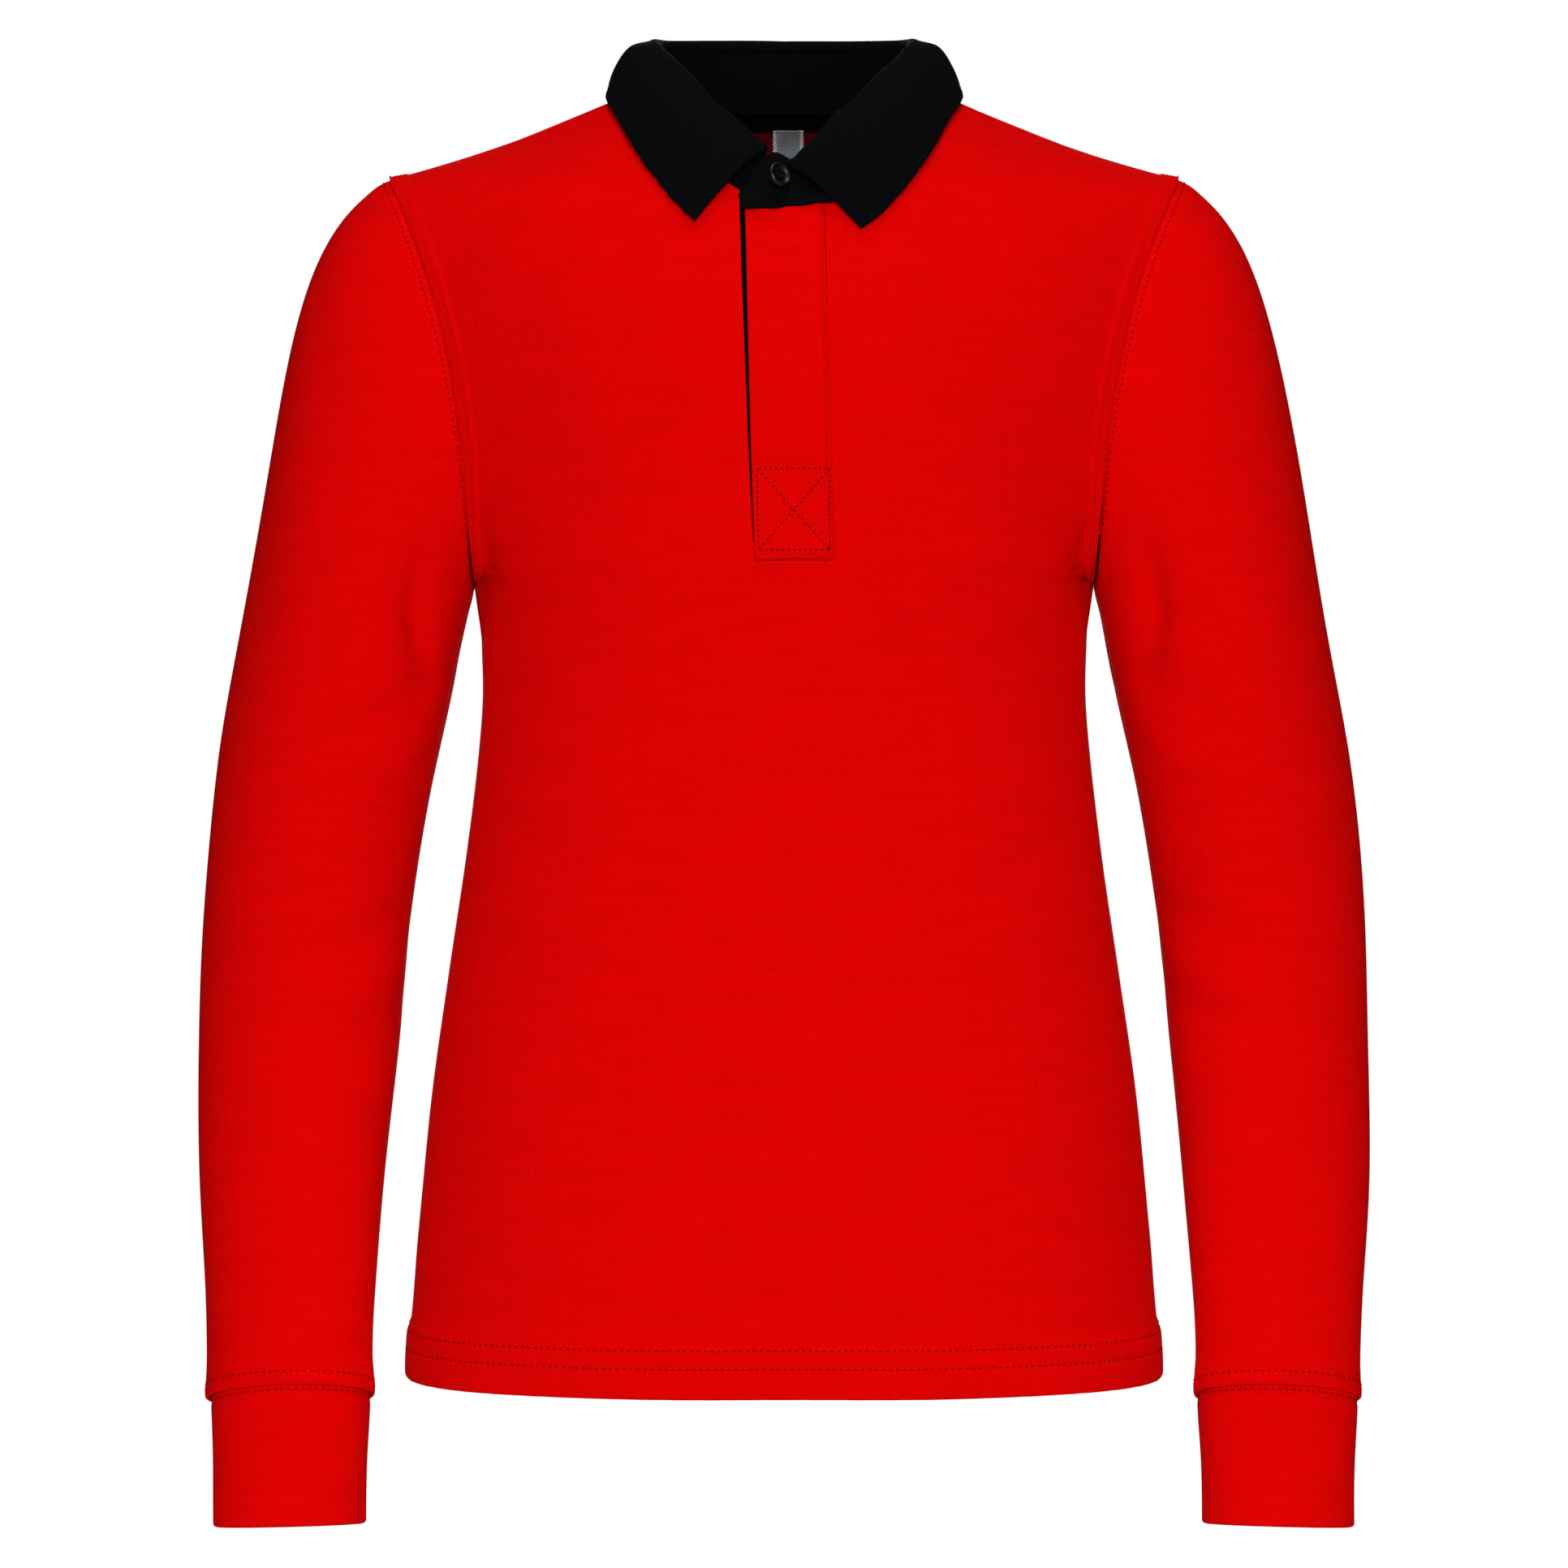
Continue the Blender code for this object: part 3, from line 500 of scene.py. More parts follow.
def creasing(a, b, creases):
    """How far the creases near a place push the cloth: out above 0, in below it."""
    total = 0.0
    for fold in creases:
        da, db = fold.to_a - fold.from_a, fold.to_b - fold.from_b
        t = ((a - fold.from_a) * da + (b - fold.from_b) * db) / (da * da + db * db)
        t = min(max(t, 0), 1)
        off = ((a - fold.from_a - da * t) ** 2 + (b - fold.from_b - db * t) ** 2) / fold.width**2
        if off < 7:
            total += fold.depth * exp(-off) * (0.35 + 0.65 * sin(pi * t))
    return total


Line = namedtuple("Line", "at depth width")


def pressed(away, *lines):
    """How far soft lines beside an edge push the cloth, that far away from it. Each is sewn in at
    a distance from the edge, and swells out instead where its depth is below 0."""
    return -sum(line.depth * exp(-(((away - line.at) / line.width) ** 2)) for line in lines)


# ---------------------------------------------------------------- stitches

STITCH_WIDTH = 0.0007
STITCH_RISE = 0.0005
STITCH_LIFT = 0.00006  # of a stitch's middle over the cloth


def walk(path, pitch):
    """Places a pitch apart on a path of points: (place, direction)."""
    left = pitch / 2
    for a, b in zip(path, path[1:]):
        step = b - a
        length = step.length
        if length < 1e-9:
            continue
        while left <= length:
            yield a + step * (left / length), step.normalized()
            left += pitch
        left -= length


def stitches(name, runs, material, skin, outward, pitch=0.0023, length=0.0015):
    """One piece of thread: a short plump stitch at every pitch of every run, lying on the skin."""
    bm = bmesh.new()
    for path in runs:
        for spot, direction in walk(path, pitch):
            found, normal, _, _ = skin.find_nearest(spot)
            if found is None:
                continue
            if normal.dot(outward(found)) < 0:
                normal = -normal
            side = normal.cross(direction).normalized()
            ahead = side.cross(normal)
            turned = Matrix(
                (ahead * length / 2, side * STITCH_WIDTH / 2, normal * STITCH_RISE / 2)
            ).transposed().to_4x4()
            turned.translation = found + normal * STITCH_LIFT
            bmesh.ops.create_uvsphere(bm, u_segments=6, v_segments=4, radius=1, matrix=turned)
    return piece_of(name, bm, material)


# ---------------------------------------------------------------- materials


def linear(code):
    """A colour from its sRGB hex code, as the linear values that a shader takes."""
    found = []
    for i in (1, 3, 5):
        value = int(code[i : i + 2], 16) / 255
        found.append(value / 12.92 if value <= 0.04045 else ((value + 0.055) / 1.055) ** 2.4)
    return (*found, 1.0)


def add_node(tree, kind, feeds, out=0, **settings):
    """A new node's output. feeds gives a socket its value, or another node's output to feed it."""
    made = tree.nodes.new("ShaderNode" + kind)
    for name, value in settings.items():
        setattr(made, name, value)
    for socket, value in feeds.items():
        if isinstance(value, bpy.types.NodeSocket):
            tree.links.new(value, made.inputs[socket])
        else:
            made.inputs[socket].default_value = value
    return made.outputs[out]


def new_material(name, **sockets):
    """A material with one Principled shader, and the values of that shader's sockets."""
    made = bpy.data.materials.new(name)
    made.use_nodes = True
    shader = made.node_tree.nodes["Principled BSDF"]
    for socket, value in sockets.items():
        shader.inputs[socket.replace("_", " ")].default_value = value
    return made, made.node_tree, shader


def dye(tree, shader, amount, low, high):
    """Gives a shader the colour between two others, by an amount from 0 to 1."""
    colour = add_node(tree, "Mix", {0: amount, 6: low, 7: high}, 2, data_type="RGBA")
    tree.links.new(colour, shader.inputs["Base Color"])


def emboss(tree, shader, height, strength, depth):
    """Gives a shader's surface the relief of a pattern, that many metres deep."""
    bump = add_node(tree, "Bump", {"Height": height, "Strength": strength, "Distance": depth})
    tree.links.new(bump, shader.inputs["Normal"])


WAVE_STEP = 0.31416  # a wave texture's period is this over its scale
WALE = 0.0015  # real wales are 0.9 mm apart, drawn coarser so that they show
COURSE = 0.0013  # real rows of loops are 0.8 mm apart, drawn coarser
TWILL_RIB = 0.0011  # real ribs are 0.7 mm apart, drawn coarser so that they show
TWILL_SLANT = 62  # degrees
SATIN_RIB = 0.0006  # real picks are 0.2 mm apart, drawn three times as coarse
SELVEDGE = 0.0014
SELVEDGE_CHECK = 0.0007


def cotton_jersey(name, low, high):
    """Heavy cotton jersey, knitted and piece-dyed red. Matt, with fine ribs down its length (the
    wales), faint rows across them, a little fuzz that lights up at grazing angles, and an even
    dye that still looks slightly mottled."""
    made, tree, shader = new_material(
        name,
        Roughness=0.92,
        Specular_IOR_Level=0.02,
        Sheen_Weight=0.03,
        Sheen_Roughness=0.55,
        Sheen_Tint=linear("#ff2a1c"),
    )
    uv = add_node(tree, "UVMap", {}, uv_map="UVMap")
    ribs = [
        add_node(
            tree,
            "TexWave",
            {
                "Vector": uv,
                "Scale": WAVE_STEP / apart,
                "Distortion": bend,
                "Detail": detail,
                "Detail Scale": 2.0,
            },
            "Fac",
            bands_direction=way,
        )
        for apart, bend, detail, way in ((WALE, 1.1, 2.0, "X"), (COURSE, 1.6, 1.0, "Y"))
    ]
    fuzz = add_node(
        tree, "TexNoise", {"Vector": uv, "Scale": 260.0, "Detail": 2.0, "Roughness": 0.6}, "Fac"
    )
    knit = add_node(tree, "Math", {0: ribs[1], 1: 0.35, 2: ribs[0]}, operation="MULTIPLY_ADD")
    knit = add_node(tree, "Math", {0: fuzz, 1: 0.9, 2: knit}, operation="MULTIPLY_ADD")
    streaks = add_node(tree, "Mapping", {"Vector": uv, "Scale": (34.0, 130.0, 1.0)})
    mottle = add_node(
        tree, "TexNoise", {"Vector": streaks, "Scale": 1.0, "Detail": 4.0, "Roughness": 0.62}, "Fac"
    )
    tones = [
        add_node(
            tree,
            "MapRange",
            {"Value": pattern, "From Min": a, "From Max": b, "To Min": dark, "To Max": light},
        )
        for pattern, a, b, dark, light in (
            (knit, 0.4, 1.7, 0.36, 0.62),
            (mottle, 0.34, 0.66, 0.0, 0.12),
        )
    ]
    amount = add_node(tree, "Math", {0: tones[0], 1: tones[1]}, operation="ADD")
    dye(tree, shader, amount, linear(low), linear(high))
    emboss(tree, shader, knit, 0.45, 0.00022)
    return made


def cotton_twill():
    """Cotton twill dyed black, woven with slanting ribs. Matt, with a faint bluish cast where
    light rakes over the ribs."""
    made, tree, shader = new_material(
        "cotton_twill_black",
        Roughness=0.85,
        Specular_IOR_Level=0.05,
        Sheen_Weight=0.008,
        Sheen_Roughness=0.5,
        Sheen_Tint=linear("#8c98a8"),
    )
    uv = add_node(tree, "UVMap", {}, uv_map="UVMap")
    slant = add_node(tree, "Mapping", {"Vector": uv, "Rotation": (0.0, 0.0, radians(TWILL_SLANT))})
    ribs = add_node(
        tree,
        "TexWave",
        {
            "Vector": slant,
            "Scale": WAVE_STEP / TWILL_RIB,
            "Distortion": 0.8,
            "Detail": 2.0,
            "Detail Scale": 2.0,
        },
        "Fac",
        bands_direction="X",
    )
    fuzz = add_node(tree, "TexNoise", {"Vector": uv, "Scale": 900.0, "Detail": 2.0}, "Fac")
    weave = add_node(tree, "Math", {0: fuzz, 1: 0.7, 2: ribs}, operation="MULTIPLY_ADD")
    amount = add_node(tree, "MapRange", {"Value": weave, "From Min": 0.3, "From Max": 1.4})
    dye(tree, shader, amount, linear("#010103"), linear("#05070a"))
    emboss(tree, shader, weave, 0.5, 0.00025)
    return made


def woven_satin():
    """A woven label in silver-grey polyester satin: a soft gloss along its fine cross ribs, and a
    small black and white check down each selvedge. Its greys are drawn darker, as painted shade
    inside the neck, and a noise varies them as a painted sheen."""
    made, tree, shader = new_material(
        "woven_satin_grey_painted_shade", Roughness=0.38, Specular_IOR_Level=0.5, Anisotropic=0.5
    )
    uv = add_node(tree, "UVMap", {}, uv_map="UVMap")
    across_it = add_node(tree, "SeparateXYZ", {0: uv}, "X")
    off = add_node(tree, "Math", {0: across_it}, operation="ABSOLUTE")
    edge = add_node(tree, "Math", {0: off, 1: LABEL_WIDTH / 2 - SELVEDGE}, operation="GREATER_THAN")
    check = add_node(
        tree,
        "TexChecker",
        {
            "Vector": uv,
            "Scale": 1 / SELVEDGE_CHECK,
            "Color1": linear("#e8e8e6"),
            "Color2": linear("#202124"),
        },
        "Color",
    )
    ribs = add_node(
        tree,
        "TexWave",
        {"Vector": uv, "Scale": WAVE_STEP / SATIN_RIB, "Distortion": 0.6},
        "Fac",
        bands_direction="Y",
    )
    # painted sheen: a noise that lightens and darkens the label's grey
    painted_sheen = add_node(tree, "TexNoise", {"Vector": uv, "Scale": 140.0, "Detail": 3.0}, "Fac")
    # greys darker than the label's own, painted shade inside the neck
    painted_shade_greys = {0: painted_sheen, 6: linear("#3c4246"), 7: linear("#848a8d")}
    dye(tree, shader, edge, add_node(tree, "Mix", painted_shade_greys, 2, data_type="RGBA"), check)
    emboss(tree, shader, ribs, 0.3, 0.0001)
    return made


def mottled(name, kind, low, high, **sockets):
    """A material that a fine noise mottles all through, from one colour to another."""
    made, tree, shader = new_material(name, **sockets)
    place = add_node(tree, "TexCoord", {}, "Object")
    amount = add_node(tree, "TexNoise", {"Vector": place, **kind}, "Fac")
    dye(tree, shader, amount, linear(low), linear(high))
    return made, tree, shader, amount


def moulded_plastic():
    """A black polyester button, cast and tumbled: glossy, with a very faint swirl."""
    made, tree, shader, swirl = mottled(
        "cast_polyester_black",
        {"Scale": 400.0, "Detail": 3.0, "Distortion": 1.5},
        "#030405",
        "#090a0d",
        Roughness=0.34,
        Specular_IOR_Level=0.35,
        IOR=1.5,
        Coat_Weight=0.05,
        Coat_Roughness=0.2,
    )
    rough = add_node(tree, "MapRange", {"Value": swirl, "To Min": 0.28, "To Max": 0.42})
    tree.links.new(rough, shader.inputs["Roughness"])
    return made


def spun_thread(name, low, high):
    """Spun polyester sewing thread: dyed to match, twisted, a little glossier than the cloth.
    A darker red given to it is partly painted shade of the sunken stitch rows.
    """
    twist = {"Scale": 2200.0, "Detail": 1.0}
    return mottled(name, twist, low, high, Roughness=0.6, Specular_IOR_Level=0.06)[0]


jersey = cotton_jersey("cotton_jersey_red", "#b80000", "#ff0102")
# the back's inside: a far darker red than the jersey's own wrong side, painted shade of the inside
# seen through the neck
painted_shade_inside = cotton_jersey("cotton_jersey_red_inside_painted_shade", "#3e0208", "#5c0410")
twill = cotton_twill()
satin = woven_satin()
plastic = moulded_plastic()
# the darker red thread is the thread's own red plus painted shade of the sunken stitch rows on the
# hem, sleeves, cuffs and box
painted_shade_red_thread = spun_thread("spun_polyester_red_painted_shade", "#560000", "#840101")
bright_red_thread = spun_thread("spun_polyester_bright_red", "#a80000", "#e00202")
black_thread = spun_thread("spun_polyester_black", "#030406", "#090a0d")

# ---------------------------------------------------------------- front and back

SIDE_STARTS = (1, 0.988, 0.951, 0.891, 0.808, 0.710, 0.610, 0.510, 0.415, 0.320, 0.225)
SHOULDER_ENDS = (1, 0.950, 0.860, 0.750, 0.630, 0.500)
NECK_TURNS = (90, 72, 58, 44, 30)
SIDE_ANGLES = (0, 0.15, 0.4, 0.8, 1.3, 2, *range(3, 21), *range(22, 78, 2))
CENTRE_STEPS = 15  # columns from the neck's last fan column to the slit, or to the middle
SLIT_STEPS = 14
UPPER_ROWS = 110
SLIT_ROW_SHARE = 0.1  # where the slit's foot is, up from the underarm
HEM_ROLL = 0.0013
HEM_TAIL = (24, 18, 12, 6)  # the rows of the panel that its turned-in edge lies behind
HEM_ROWS, HEM_ROW_STEP = 30, 0.0008  # finer rows at the hem, for its seam
SIDE_ROWS = 92  # from those to the underarm
ROLL_STEPS = 4
HEM_STITCH_ROWS = (0.0126, 0.0200)  # up from the hem
TOPSTITCH = 0.005  # from the armhole seam
SIDE_SEAM = (Line(0, 0.0007, 0.0014), Line(0.0045, -0.00035, 0.003))
SHOULDER_SEAM = (Line(0, 0.0006, 0.0012), Line(0.005, -0.0003, 0.003))
ARMHOLE_ROW = Line(TOPSTITCH, 0.0003, 0.0007)
ARMHOLE_LAP = 0.0008  # the body's edge lies over the sleeve's, this thick
LAP_WIDTH, LAP_FADE = 0.0064, 0.0022
HEM_ROWS_SEWN = tuple(Line(row - HEM_ROLL, 0.00035, 0.0010) for row in HEM_STITCH_ROWS)
HEM_SWELL = 0.0003  # of the doubled cloth, with small waves between its stitches
HEM_WAVE, HEM_WAVES_APART = 0.00012, (0.0105, 0.037)
BODY_WAVE, SLEEVE_WAVE, CUFF_WAVE = 0.00035, 0.0003, 0.0002  # cloth is nowhere quite flat

BODY_CREASES = {
    FRONT: (
        Crease(-0.131, -0.178, -0.125, -0.216, 0.0095, -0.0062),
        Crease(-0.120, -0.196, -0.104, -0.176, 0.0060, -0.0010),
        Crease(0.131, -0.178, 0.126, -0.214, 0.0095, -0.0062),
        Crease(0.121, -0.197, 0.106, -0.174, 0.0060, -0.0009),
        Crease(-0.118, -0.300, -0.074, -0.326, 0.0095, -0.0009),
        Crease(-0.122, -0.336, -0.070, -0.349, 0.0090, 0.0007),
        Crease(0.117, -0.306, 0.072, -0.331, 0.0095, -0.0009),
        Crease(0.124, -0.343, 0.078, -0.352, 0.0090, 0.0007),
        Crease(-0.052, -0.060, -0.078, -0.092, 0.0080, -0.0006),
        Crease(0.052, -0.061, 0.080, -0.090, 0.0080, -0.0006),
        Crease(-0.060, -0.440, -0.075, -0.520, 0.0140, 0.0008),
        Crease(0.048, -0.430, 0.058, -0.522, 0.0140, 0.0008),
        Crease(0.000, -0.420, -0.006, -0.520, 0.0150, -0.0006),
        Crease(-0.009, -0.193, 0.012, -0.215, 0.0060, -0.0005),
    ),
    BACK: (
        Crease(-0.128, -0.186, -0.116, -0.218, 0.0065, -0.0018),
        Crease(0.128, -0.185, 0.117, -0.217, 0.0065, -0.0018),
        Crease(-0.118, -0.196, -0.090, -0.160, 0.0090, -0.0013),
        Crease(0.119, -0.197, 0.092, -0.158, 0.0090, -0.0013),
        Crease(-0.104, -0.292, -0.030, -0.318, 0.0110, -0.0013),
        Crease(0.100, -0.297, 0.020, -0.322, 0.0110, -0.0013),
        Crease(-0.110, -0.318, -0.045, -0.338, 0.0100, 0.0010),
        Crease(0.112, -0.322, 0.050, -0.342, 0.0100, 0.0010),
        Crease(-0.060, -0.430, -0.072, -0.520, 0.0150, 0.0010),
        Crease(0.055, -0.425, 0.066, -0.520, 0.0150, 0.0010),
        Crease(0.002, -0.350, 0.004, -0.480, 0.0160, -0.0010),
    ),
}


def linear_between(keys, values, at):
    """The value at a place in a falling row of keys, on straight lines between them."""
    for i in range(len(keys) - 1):
        if at >= keys[i + 1]:
            break
    return between(values[i], values[i + 1], (at - keys[i]) / (keys[i + 1] - keys[i]))


def neck_level(side, share_of):
    """The level where a line up the body, at the share that share_of gives, meets the neck seam."""

    def below_neck(level):
        point = body_point(side, share_of(level), level)
        return (point.x / NECK_HALF) ** 2 + (point.y / NECK_REACH[side]) ** 2 > 1

    return solve(below_neck, *NECK_LEVELS)


def top_of(side, end):
    """The level where a column that ends at this share reaches the shoulder or the neck seam."""
    if abs(end) * body_half(2) >= NECK_HALF - MERGE:
        return 2
    return neck_level(side, lambda level: end)


def panel_columns(side):
    """Across a panel: for each column, its top level and a function of (up, level) for its share.

    The second thing it gives is the column at the slit's left edge.
    """
    ends = SHOULDER_ENDS + tuple(neck_edge(side, turn)[0] for turn in NECK_TURNS)
    fans = []
    for angle in SIDE_ANGLES:
        start = max(cos(radians(angle)), SIDE_STARTS[-1])
        fans.append((start, linear_between(SIDE_STARTS, ends, start)))
    fans.append((SIDE_STARTS[-1], ends[-1]))
    halves = [
        [
            (
                top_of(side, end),
                lambda up, level, a=start * flip, b=end * flip: between(a, b, ease(up)),
            )
            for start, end in fans
        ]
        for flip in (-1, 1)
    ]
    last_start, last_end = fans[-1]
    if side == BACK:
        central = [
            (
                top_of(side, last_end * mark),
                lambda up, level, m=mark: between(last_start, last_end, ease(up)) * m,
            )
            for mark in [i / CENTRE_STEPS - 1 for i in range(1, 2 * CENTRE_STEPS)]
        ]
        return halves[0] + central + halves[1][::-1], None
    edges = []
    for flip, ends in ((-1, SLIT_LEFT), (1, SLIT_RIGHT)):
        level = neck_level(side, lambda at: slit_share(ends, at))
        edges.append((flip, ends, level, slit_share(ends, level)))
    left, right = (
        [
            (
                level if mark == 1 else top_of(side, between(last_end * flip, share, mark)),
                lambda up, at, m=mark, f=flip, e=ends: between(
                    between(last_start, last_end, ease(up)) * f, slit_share(e, at), m
                ),
            )
            for mark in [i / CENTRE_STEPS for i in range(1, CENTRE_STEPS + 1)]
        ]
        for flip, ends, level, share in edges
    )
    slit = [
        (
            top_of(side, between(edges[0][3], edges[1][3], mark)),
            lambda up, at, m=mark: between(
                slit_share(SLIT_LEFT, at), slit_share(SLIT_RIGHT, at), m
            ),
        )
        for mark in [i / SLIT_STEPS for i in range(1, SLIT_STEPS)]
    ]
    first = len(halves[0]) + len(left) - 1
    return halves[0] + left + slit + right[::-1] + halves[1][::-1], first


hem_depth = UNDERARM_HEIGHT - HEM_HEIGHT
lower_levels = [(HEM_ROLL + HEM_ROW_STEP * i) / hem_depth for i in range(HEM_ROWS)]
lower_levels += [between(lower_levels[-1], 1, i / SIDE_ROWS) for i in range(1, SIDE_ROWS + 1)]


def panel_grid(side):
    """The points of a panel from the hem up, their levels, and the column where the slit starts."""
    columns, first = panel_columns(side)
    ups = [0] * len(lower_levels) + [r / UPPER_ROWS for r in range(1, UPPER_ROWS + 1)]
    levels = [[level] * len(columns) for level in lower_levels]
    levels += [[between(1, top, up) for top, _ in columns] for up in ups[len(lower_levels) :]]
    grid = [
        [body_point(side, share(up, level), level) for (_, share), level in zip(columns, row)]
        for up, row in zip(ups, levels)
    ]
    return grid, levels, first


def half_roll(edge, out, normal, radius):
    """The points of a half roll that turns an edge in, from behind the edge round to it."""
    turns_in = [pi * (1 - i / ROLL_STEPS) for i in range(ROLL_STEPS + 1)]
    return [edge - normal * radius * (1 - cos(t)) + out * radius * sin(t) for t in turns_in]


def rolled(grid, radius, tail, flip, closed=False):
    """The same grid with its first row turned in: a half roll, then a tail behind some rows."""
    normals = grid_normals(grid[: tail[0] + 2], closed)
    rolls = [
        half_roll(p, (p - above).normalized(), n * flip, radius)
        for p, above, n in zip(grid[0], grid[1], normals[0])
    ]
    inside = [[p - n * flip * 2 * radius for p, n in zip(grid[k], normals[k])] for k in tail]
    return inside + turned_grid(rolls)[:-1] + grid


def inside_the_body(point):
    """A place on the upright line through the middle of the neck, a little below a point."""
    return Vector((0, 0, point.z - 0.02))


# the back's inside is drawn dark red, painted shade
PAINTED_SHADE_INSIDES = {FRONT: None, BACK: painted_shade_inside}
INNER_ROWS = len(HEM_TAIL) + ROLL_STEPS  # rows that the turned-in hem adds
panels, panel_grids = {}, {}
for name, side in (("front_panel", FRONT), ("back_panel", BACK)):
    grid, levels, slit_column = panel_grid(side)
    across, up_it = lengths(grid)
    halves = [row[-1] for row in across]
    tops = up_it[-1]

    def panel_relief(r, c, u, v, point):
        edge, level = halves[r] - abs(u), levels[r][c]
        total = creasing(point.x, point.z, BODY_CREASES[side]) * ease(edge / 0.02 + 0.25)
        lap = (0.45 + 0.55 * ease(edge / 0.0012)) * (1 - ease((edge - LAP_WIDTH) / LAP_FADE))
        lap = ARMHOLE_LAP * lap + pressed(edge, ARMHOLE_ROW)
        total += between(pressed(edge, *SIDE_SEAM), lap, ease((level - 1) / 0.05))
        if level > 1.9:
            total += pressed(tops[c] - v, *SHOULDER_SEAM)
        hem = 1 - ease((v - HEM_STITCH_ROWS[1] - 0.0002) / 0.0014)
        if hem:
            short, long = (sin(u * 2 * pi / apart) for apart in HEM_WAVES_APART)
            total += hem * (HEM_SWELL + HEM_WAVE * short * long) + pressed(v, *HEM_ROWS_SEWN)
        return total + BODY_WAVE * sin(point.x * 61 + 1.3) * sin(point.z * 37 + side)

    grid, flip = raised(grid, inside_the_body, panel_relief)
    left_out = []
    if side == FRONT:
        foot = len(lower_levels) - 1 + round(UPPER_ROWS * SLIT_ROW_SHARE)
        left_out = [
            (r + INNER_ROWS, c)
            for r in range(foot, len(grid) - 1)
            for c in range(slit_column, slit_column + SLIT_STEPS)
        ]
    whole = rolled(grid, HEM_ROLL, HEM_TAIL, flip)
    panels[side] = cloth(
        name, whole, jersey, JERSEY - 0.0001, flip, False, left_out, 0.0003, PAINTED_SHADE_INSIDES[side]
    )
    panel_grids[side] = grid

body_skin = skin_of(*panel_grids.values())


def away_from_axis(point):
    """Outwards from the upright line through the middle of the neck."""
    return Vector((point.x, point.y, 0.0))


# ---------------------------------------------------------------- sleeves and cuffs

ARM_COLUMNS = 100
CAP_ROWS, ARM_ROWS, END_ROWS, CUFF_ROWS = 54, 92, 18, 26
END_LENGTH = 0.014  # of the finer rows at the sleeve's end
CAP_MIDDLE, CAP_DROP = 0.15, 0.03  # the cap's middle from the body's, and below each of its points
CREASE_SHIFT = 0.006  # how far lower the creases of the arm at -X are
CAP_STARTS = (0, 0.004, 0.008, 0.012, 0.017, 0.023, 0.030, 0.038, 0.048)
SLEEVE_ROLL = 0.0008
SLEEVE_STITCH_ROW = 0.0048  # up from the sleeve's end
CUFF_ROLL = 0.0014
CUFF_STITCH_ROW = CUFF_LAP + 0.0022  # down from the cuff's top, which is inside the sleeve
SEAM_TUCK, TUCK_DEPTH = 0.0016, 0.0006  # how far the sleeve goes on under the body's edge
CAP_PRESS = 0.00035  # at the armhole
CAP_SWELL = Line(0.0065, -0.00035, 0.004)
UNDERARM_SEAM = Line(0, 0.0006, 0.0014)
SLEEVE_END_SEWN = Line(SLEEVE_STITCH_ROW, 0.0003, 0.0009)
SLEEVE_END_SWELL, SLEEVE_END_WAVE, SLEEVE_WAVES_APART = 0.0003, 0.00012, 0.011
CUFF_SEAM = Line(0, 0.0004, 0.0012)
CUFF_TOP_SEWN = Line(CUFF_STITCH_ROW, 0.0004, 0.0010)
CUFF_TOP_PRESS = 0.0006  # where the sleeve holds it in

SLEEVE_CREASES = (  # across from the outer line, to the front above 0, and height
    Crease(0.140, -0.190, 0.118, -0.238, 0.0120, -0.0058),
    Crease(0.128, -0.236, 0.075, -0.262, 0.0070, -0.0012),
    Crease(0.132, -0.256, 0.088, -0.288, 0.0075, 0.0009),
    Crease(0.130, -0.330, 0.072, -0.352, 0.0080, -0.0013),
    Crease(0.132, -0.350, 0.080, -0.372, 0.0075, 0.0009),
    Crease(0.128, -0.372, 0.060, -0.392, 0.0080, -0.0013),
    Crease(0.126, -0.398, 0.070, -0.412, 0.0075, 0.0008),
    Crease(-0.128, -0.340, -0.080, -0.362, 0.0085, -0.0012),
    Crease(-0.126, -0.368, -0.074, -0.384, 0.0085, -0.0011),
    Crease(-0.130, -0.240, -0.082, -0.268, 0.0080, -0.0012),
    Crease(0.040, -0.486, 0.052, -0.524, 0.0080, 0.0007),
    Crease(-0.012, -0.494, -0.006, -0.526, 0.0080, 0.0007),
    Crease(0.085, -0.490, 0.080, -0.526, 0.0070, -0.0006),
    Crease(-0.060, -0.492, -0.066, -0.526, 0.0080, 0.0007),
    Crease(0.018, -0.060, 0.050, -0.110, 0.0090, -0.0005),
)

turns = [2 * pi * i / ARM_COLUMNS - pi for i in range(ARM_COLUMNS + 1)]
arm_end = 1 - END_LENGTH / (CAP_END_HEIGHT - SLEEVE_END_HEIGHT)
sleeve_levels = list(CAP_STARTS)
sleeve_levels += [between(CAP_STARTS[-1], 1, i / CAP_ROWS) for i in range(1, CAP_ROWS + 1)]
sleeve_levels += [1 + arm_end * i / ARM_ROWS for i in range(1, ARM_ROWS + 1)]
sleeve_levels += [between(1 + arm_end, 2, i / END_ROWS) for i in range(1, END_ROWS + 1)]
cuff_top, cuff_end = SLEEVE_END_HEIGHT + CUFF_LAP, CUFF_END_HEIGHT + CUFF_ROLL
cuff_heights = [between(cuff_top, cuff_end, i / CUFF_ROWS) for i in range(CUFF_ROWS + 1)]
sleeve_grids, cuff_grids = {}, {}


def arm_middle(point):
    """The middle of the arm at +X, level with a point of it or, for its cap, lower."""
    if point.z > ARM_RINGS[0].height:
        return Vector((CAP_MIDDLE, 0, point.z - CAP_DROP))
    row = along(ARM_RINGS, max(point.z, ARM_RINGS[-1].height))
    return Vector((row.x, row.y, point.z))


def cuff_point(turn, height):
    """A point of the cuff: its end is more level than the arm's own rings."""
    point = arm_ring(height, turn, CUFF_STEP)
    down = (SLEEVE_END_HEIGHT - height) / (SLEEVE_END_HEIGHT - CUFF_END_HEIGHT)
    point.z -= CUFF_DROP * sin(turn) * ease(down)
    return point


def mirrored(grid, flip):
    """The arm at +X as it is, or flipped to be the other one."""
    if flip > 0:
        return grid
    return [[Vector((-p.x, p.y, p.z)) for p in row] for row in grid]


